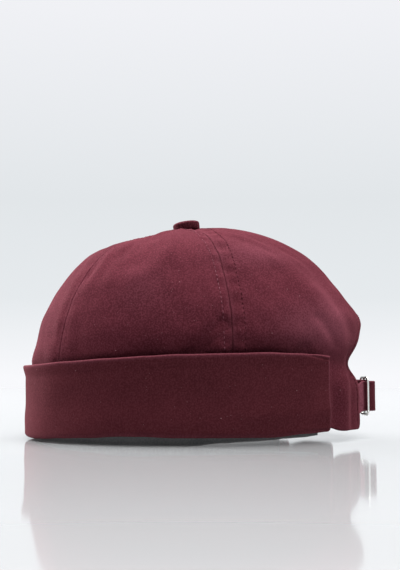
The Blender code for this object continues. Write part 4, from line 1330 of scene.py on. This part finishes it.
def seamRow(seam, side, distance, lowest, sink):
    # thread places along a seam: even steps of its length, at a fixed distance to one side
    rises, lengths = lengthUp(seam)
    places = stitchPlaces(lengths[-1])
    rise = np.interp(places, lengths, rises)
    radius = smoothCrown(np.full(rise.shape, seam), rise)[0]
    kept = radius > button["radius"] + button["room"]
    rise, radius, places = rise[kept], radius[kept], places[kept]
    azimuth = seam + side * np.degrees(distance / radius)
    kept = smoothCrown(azimuth, rise)[1] > lowest
    azimuth, rise, places = azimuth[kept], rise[kept], places[kept]
    outwards = rowRelief(azimuth, rise, places) - sink
    centre = crownPoint(azimuth, rise, outwards)
    riseStep, turnStep = 0.002, 0.2
    ahead = crownPoint(azimuth, np.minimum(rise + riseStep, 1.0), outwards)
    beside = crownPoint(azimuth + turnStep, rise, outwards)
    tangent = unit(ahead - centre)
    return centre, tangent, unit(np.cross(beside - centre, tangent))


def onCrown(across, height):
    # azimuth and rise of the crown's points that are so far across and so high, found by moving both in turn
    climbing, heights = lineAtBack(steps=900)
    rise = np.interp(height, heights, climbing)
    rounds, roughTall = 8, 0.12
    for _ in range(rounds):
        azimuth = edgeAzimuth(rise, lambda azimuth, point: point[:, 0] > np.abs(across), rounds=30)
        missing = height - crownPoint(azimuth, rise, 0.0)[:, 2]
        rise = rise + missing / roughTall
    return azimuth * np.where(across < 0.0, -1.0, 1.0), rise


def archRow():
    # thread places round the opening's hem: an arch of even steps over two straight sides
    reach = arch["row"]
    wide, tall = arch["halfWidth"] + reach, arch["top"] - arch["spring"] + reach
    turn = np.linspace(0.0, math.pi, 2001)
    curve = np.stack((wide * np.cos(turn), arch["spring"] + tall * np.sin(turn)), axis=-1)
    low = np.linspace(arch["rowLowest"], arch["spring"], 200)[:-1]
    right = np.stack((np.full(low.shape, wide), low), axis=-1)
    curve = np.concatenate((right, curve, right[::-1] * (-1.0, 1.0)))
    lengths = lengthsAlong(*curve.T)
    places = stitchPlaces(lengths[-1])
    azimuth, rise = onCrown(*(np.interp(places, lengths, part) for part in curve.T))
    centre = crownPoint(azimuth, rise, arch["hemPad"] * stitch["onHem"])
    tangent = unit(np.gradient(centre, axis=0))
    radial = np.stack((*direction(azimuth), np.zeros(azimuth.shape)), axis=-1)
    return centre, tangent, unit(np.cross(tangent, np.cross(radial, tangent)))


def makeStitches():
    # a row on each side of a seam: the cloth's colour, except at the side seams, where the row before is pale
    # with painted light and the row behind dark with painted shade
    rows = {"pale": [], "dark": [], "burgundy": []}
    for seam in seams:
        lowest = stitch["aboveArch"] if seam == 180.0 else stitch["aboveCuff"]
        sink = crown["narrowSink"] if isNarrow(seam) else 0.0
        for side in (-1.0, 1.0):
            towardsBack = side == backSide(seam)
            kind = "dark" if towardsBack else "pale"
            if abs(seam) != crown["sideSeam"]:
                kind = "burgundy"
            rows[kind].append(seamRow(seam, side, rowDistance(seam, towardsBack), lowest, sink))
    rows["burgundy"].append(archRow())
    for kind, found in rows.items():
        centres, tangents, normals = (np.concatenate(parts) for parts in zip(*found))
        stitchPiece(f"crown_stitches_{kind}", centres, tangents, normals, threads[kind])


makeStitches()
print("docker beanie: stitches made")


studio = {
    "floorTone": (0.190, 0.1926, 0.1972), "floorNearShade": 0.91, "floorIor": 1.2, "floorRoughness": 0.07,
    "floorRadius": 2.6, "floorSides": 96, "floorDrop": 0.0002,
    "nearFrom": 0.12, "nearTo": 0.42,    # where the painted shade deepens the floor's tone towards the camera
    "ambient": 0.08, "ambientTone": (0.97, 0.98, 1.0),
    # azimuth and elevation that the light comes from, strength, spread in degrees, colour
    "suns": {
        "key": (-90.0, 85.0, 6.1, 52.0, (1.0, 1.0, 1.0)),
        "front_rim": (-40.0, 22.0, 7.9, 50.0, (1.0, 0.99, 0.98)),
        "back_rim": (168.0, 70.0, 3.4, 50.0, (1.0, 0.99, 0.98)),
        "floor_fill": (90.0, 32.0, 8.0, 30.0, (1.0, 1.0, 1.0)),
    },
    "insideSize": 0.11, "insideHeight": 0.060, "insidePower": 0.34,
    "backdropLow": -0.05, "backdropHigh": 0.45,
    # the backdrop's colours between those two heights over the horizon
    "backdrop": (
        (0.00, (0.945, 0.953, 0.978)), (0.10, (0.94, 0.948, 0.975)), (0.26, (0.79, 0.822, 0.847)),
        (0.46, (0.76, 0.791, 0.815)), (0.82, (0.871, 0.879, 0.913)), (1.00, (0.89, 0.895, 0.92)),
    ),
}
view = {
    "azimuth": 86.0, "distance": 0.600, "height": 0.0367, "lens": 61.2, "sensor": 36.0,
    "aside": 0.0022,
    "aimAside": 0.00588, "aimHeight": 0.0934,    # what it looks at, further aside and over the button's foot
}


def paleBoard():
    # pale gloss board with painted shade: a little darker towards the camera
    made, tree, shader = newMaterial("pale_board", (0.8, 0.8, 0.8))
    place = addNode(tree, "ShaderNodeTexCoord").outputs["Object"]
    forward = addNode(tree, "ShaderNodeSeparateXYZ", {"Vector": place}).outputs["X"]
    near = ranged(tree, forward, studio["nearFrom"], studio["nearTo"])
    nearShade = shaded(studio["floorTone"], studio["floorNearShade"])
    fill(tree, shader, {
        "Base Color": mixed(tree, near, opaque(studio["floorTone"]), opaque(nearShade)),
        "Roughness": studio["floorRoughness"], "IOR": studio["floorIor"],
    })
    return made


def makeFloor():
    # a wide disc just below the cap: triangles from its middle to the points of its edge
    sides, radius = studio["floorSides"], studio["floorRadius"]
    turn = np.linspace(0.0, 2.0 * math.pi, sides, endpoint=False)
    across = np.concatenate(([0.0], radius * np.cos(turn)))
    along = np.concatenate(([0.0], radius * np.sin(turn)))
    points = np.stack((across, along, np.full(sides + 1, -studio["floorDrop"])), axis=-1)
    edge = np.arange(1, sides + 1)
    middle = np.zeros(sides, dtype=int)
    faces = quads(edge, np.roll(edge, -1), middle, middle)
    floor = makeMesh("floor", points, faces, points[:, :2], np.zeros(len(points)), paleBoard())
    return floor


def makeWorld():
    # a pale surround: what is seen follows the height over the horizon, and the soft light from it is low
    world = bpy.data.worlds.new("studio")
    world.use_nodes = True
    tree = world.node_tree
    tree.nodes.clear()
    place = addNode(tree, "ShaderNodeTexCoord").outputs["Generated"]
    upwards = addNode(tree, "ShaderNodeSeparateXYZ", {"Vector": place}).outputs["Z"]
    height = ranged(tree, upwards, studio["backdropLow"], studio["backdropHigh"])
    seen = addNode(tree, "ShaderNodeBackground", {"Color": addRamp(tree, height, studio["backdrop"])})
    soft = addNode(tree, "ShaderNodeBackground", {
        "Color": opaque(studio["ambientTone"]), "Strength": studio["ambient"],
    })
    isSoft = addNode(tree, "ShaderNodeLightPath").outputs["Is Diffuse Ray"]
    inputs = {0: isSoft, 1: seen.outputs["Background"], 2: soft.outputs["Background"]}
    mix = addNode(tree, "ShaderNodeMixShader", inputs)
    addNode(tree, "ShaderNodeOutputWorld", {"Surface": mix.outputs["Shader"]})
    bpy.context.scene.world = world


def makeSun(name):
    # a lamp turned so that its light comes from its azimuth and elevation
    azimuth, elevation, strength, spread, colour = studio["suns"][name]
    light = bpy.data.lights.new(name, "SUN")
    light.energy = strength
    light.angle = math.radians(spread)
    light.color = colour
    holder = bpy.data.objects.new(name, light)
    holder.rotation_euler = (math.radians(90.0 - elevation), 0.0, math.radians(azimuth))
    bpy.context.scene.collection.objects.link(holder)
    return holder


def makeInsideLight():
    # a soft lamp in the crown, itself unseen, as light that comes in under the rim
    light = bpy.data.lights.new("inside_fill", "AREA")
    light.shape = "DISK"
    light.size = studio["insideSize"]
    light.energy = studio["insidePower"]
    holder = bpy.data.objects.new("inside_fill", light)
    holder.location = (0.0, apexY, studio["insideHeight"])
    holder.visible_camera = False
    holder.visible_glossy = False
    bpy.context.scene.collection.objects.link(holder)
    return holder


def lightOnly(holder, receiver):
    # the lamp lights one object alone
    lit = bpy.data.collections.new(f"lit_by_{holder.name}")
    lit.objects.link(receiver)
    holder.light_linking.receiver_collection = lit


def makeCamera():
    # the photograph's view, almost square to the cap's left side and low over the floor
    azimuth = math.radians(view["azimuth"])
    right = np.array((math.cos(azimuth), math.sin(azimuth), 0.0))
    towards = np.array((math.sin(azimuth), -math.cos(azimuth), 0.0))
    apex = np.array((0.0, apexY, 0.0))
    place = apex + right * view["aside"] + towards * view["distance"] + (0.0, 0.0, view["height"])
    aim = apex + right * (view["aside"] + view["aimAside"]) + (0.0, 0.0, view["aimHeight"])
    data = bpy.data.cameras.new("camera")
    data.lens = view["lens"]
    data.sensor_width = view["sensor"]
    data.sensor_fit = "AUTO"
    data.clip_start, data.clip_end = 0.01, 100.0
    camera = bpy.data.objects.new("camera", data)
    camera.location = place
    camera.rotation_mode = "QUATERNION"
    camera.rotation_quaternion = Vector(aim - place).to_track_quat("-Z", "Y")
    bpy.context.scene.collection.objects.link(camera)
    bpy.context.scene.camera = camera


floor = makeFloor()
makeWorld()
suns = {name: makeSun(name) for name in studio["suns"]}
for lamp in (suns["floor_fill"], makeInsideLight()):
    lightOnly(lamp, floor)
makeCamera()
bpy.context.scene.view_settings.view_transform = "Standard"
bpy.context.scene.view_settings.look = "None"
print("docker beanie: stage, lights and camera made")
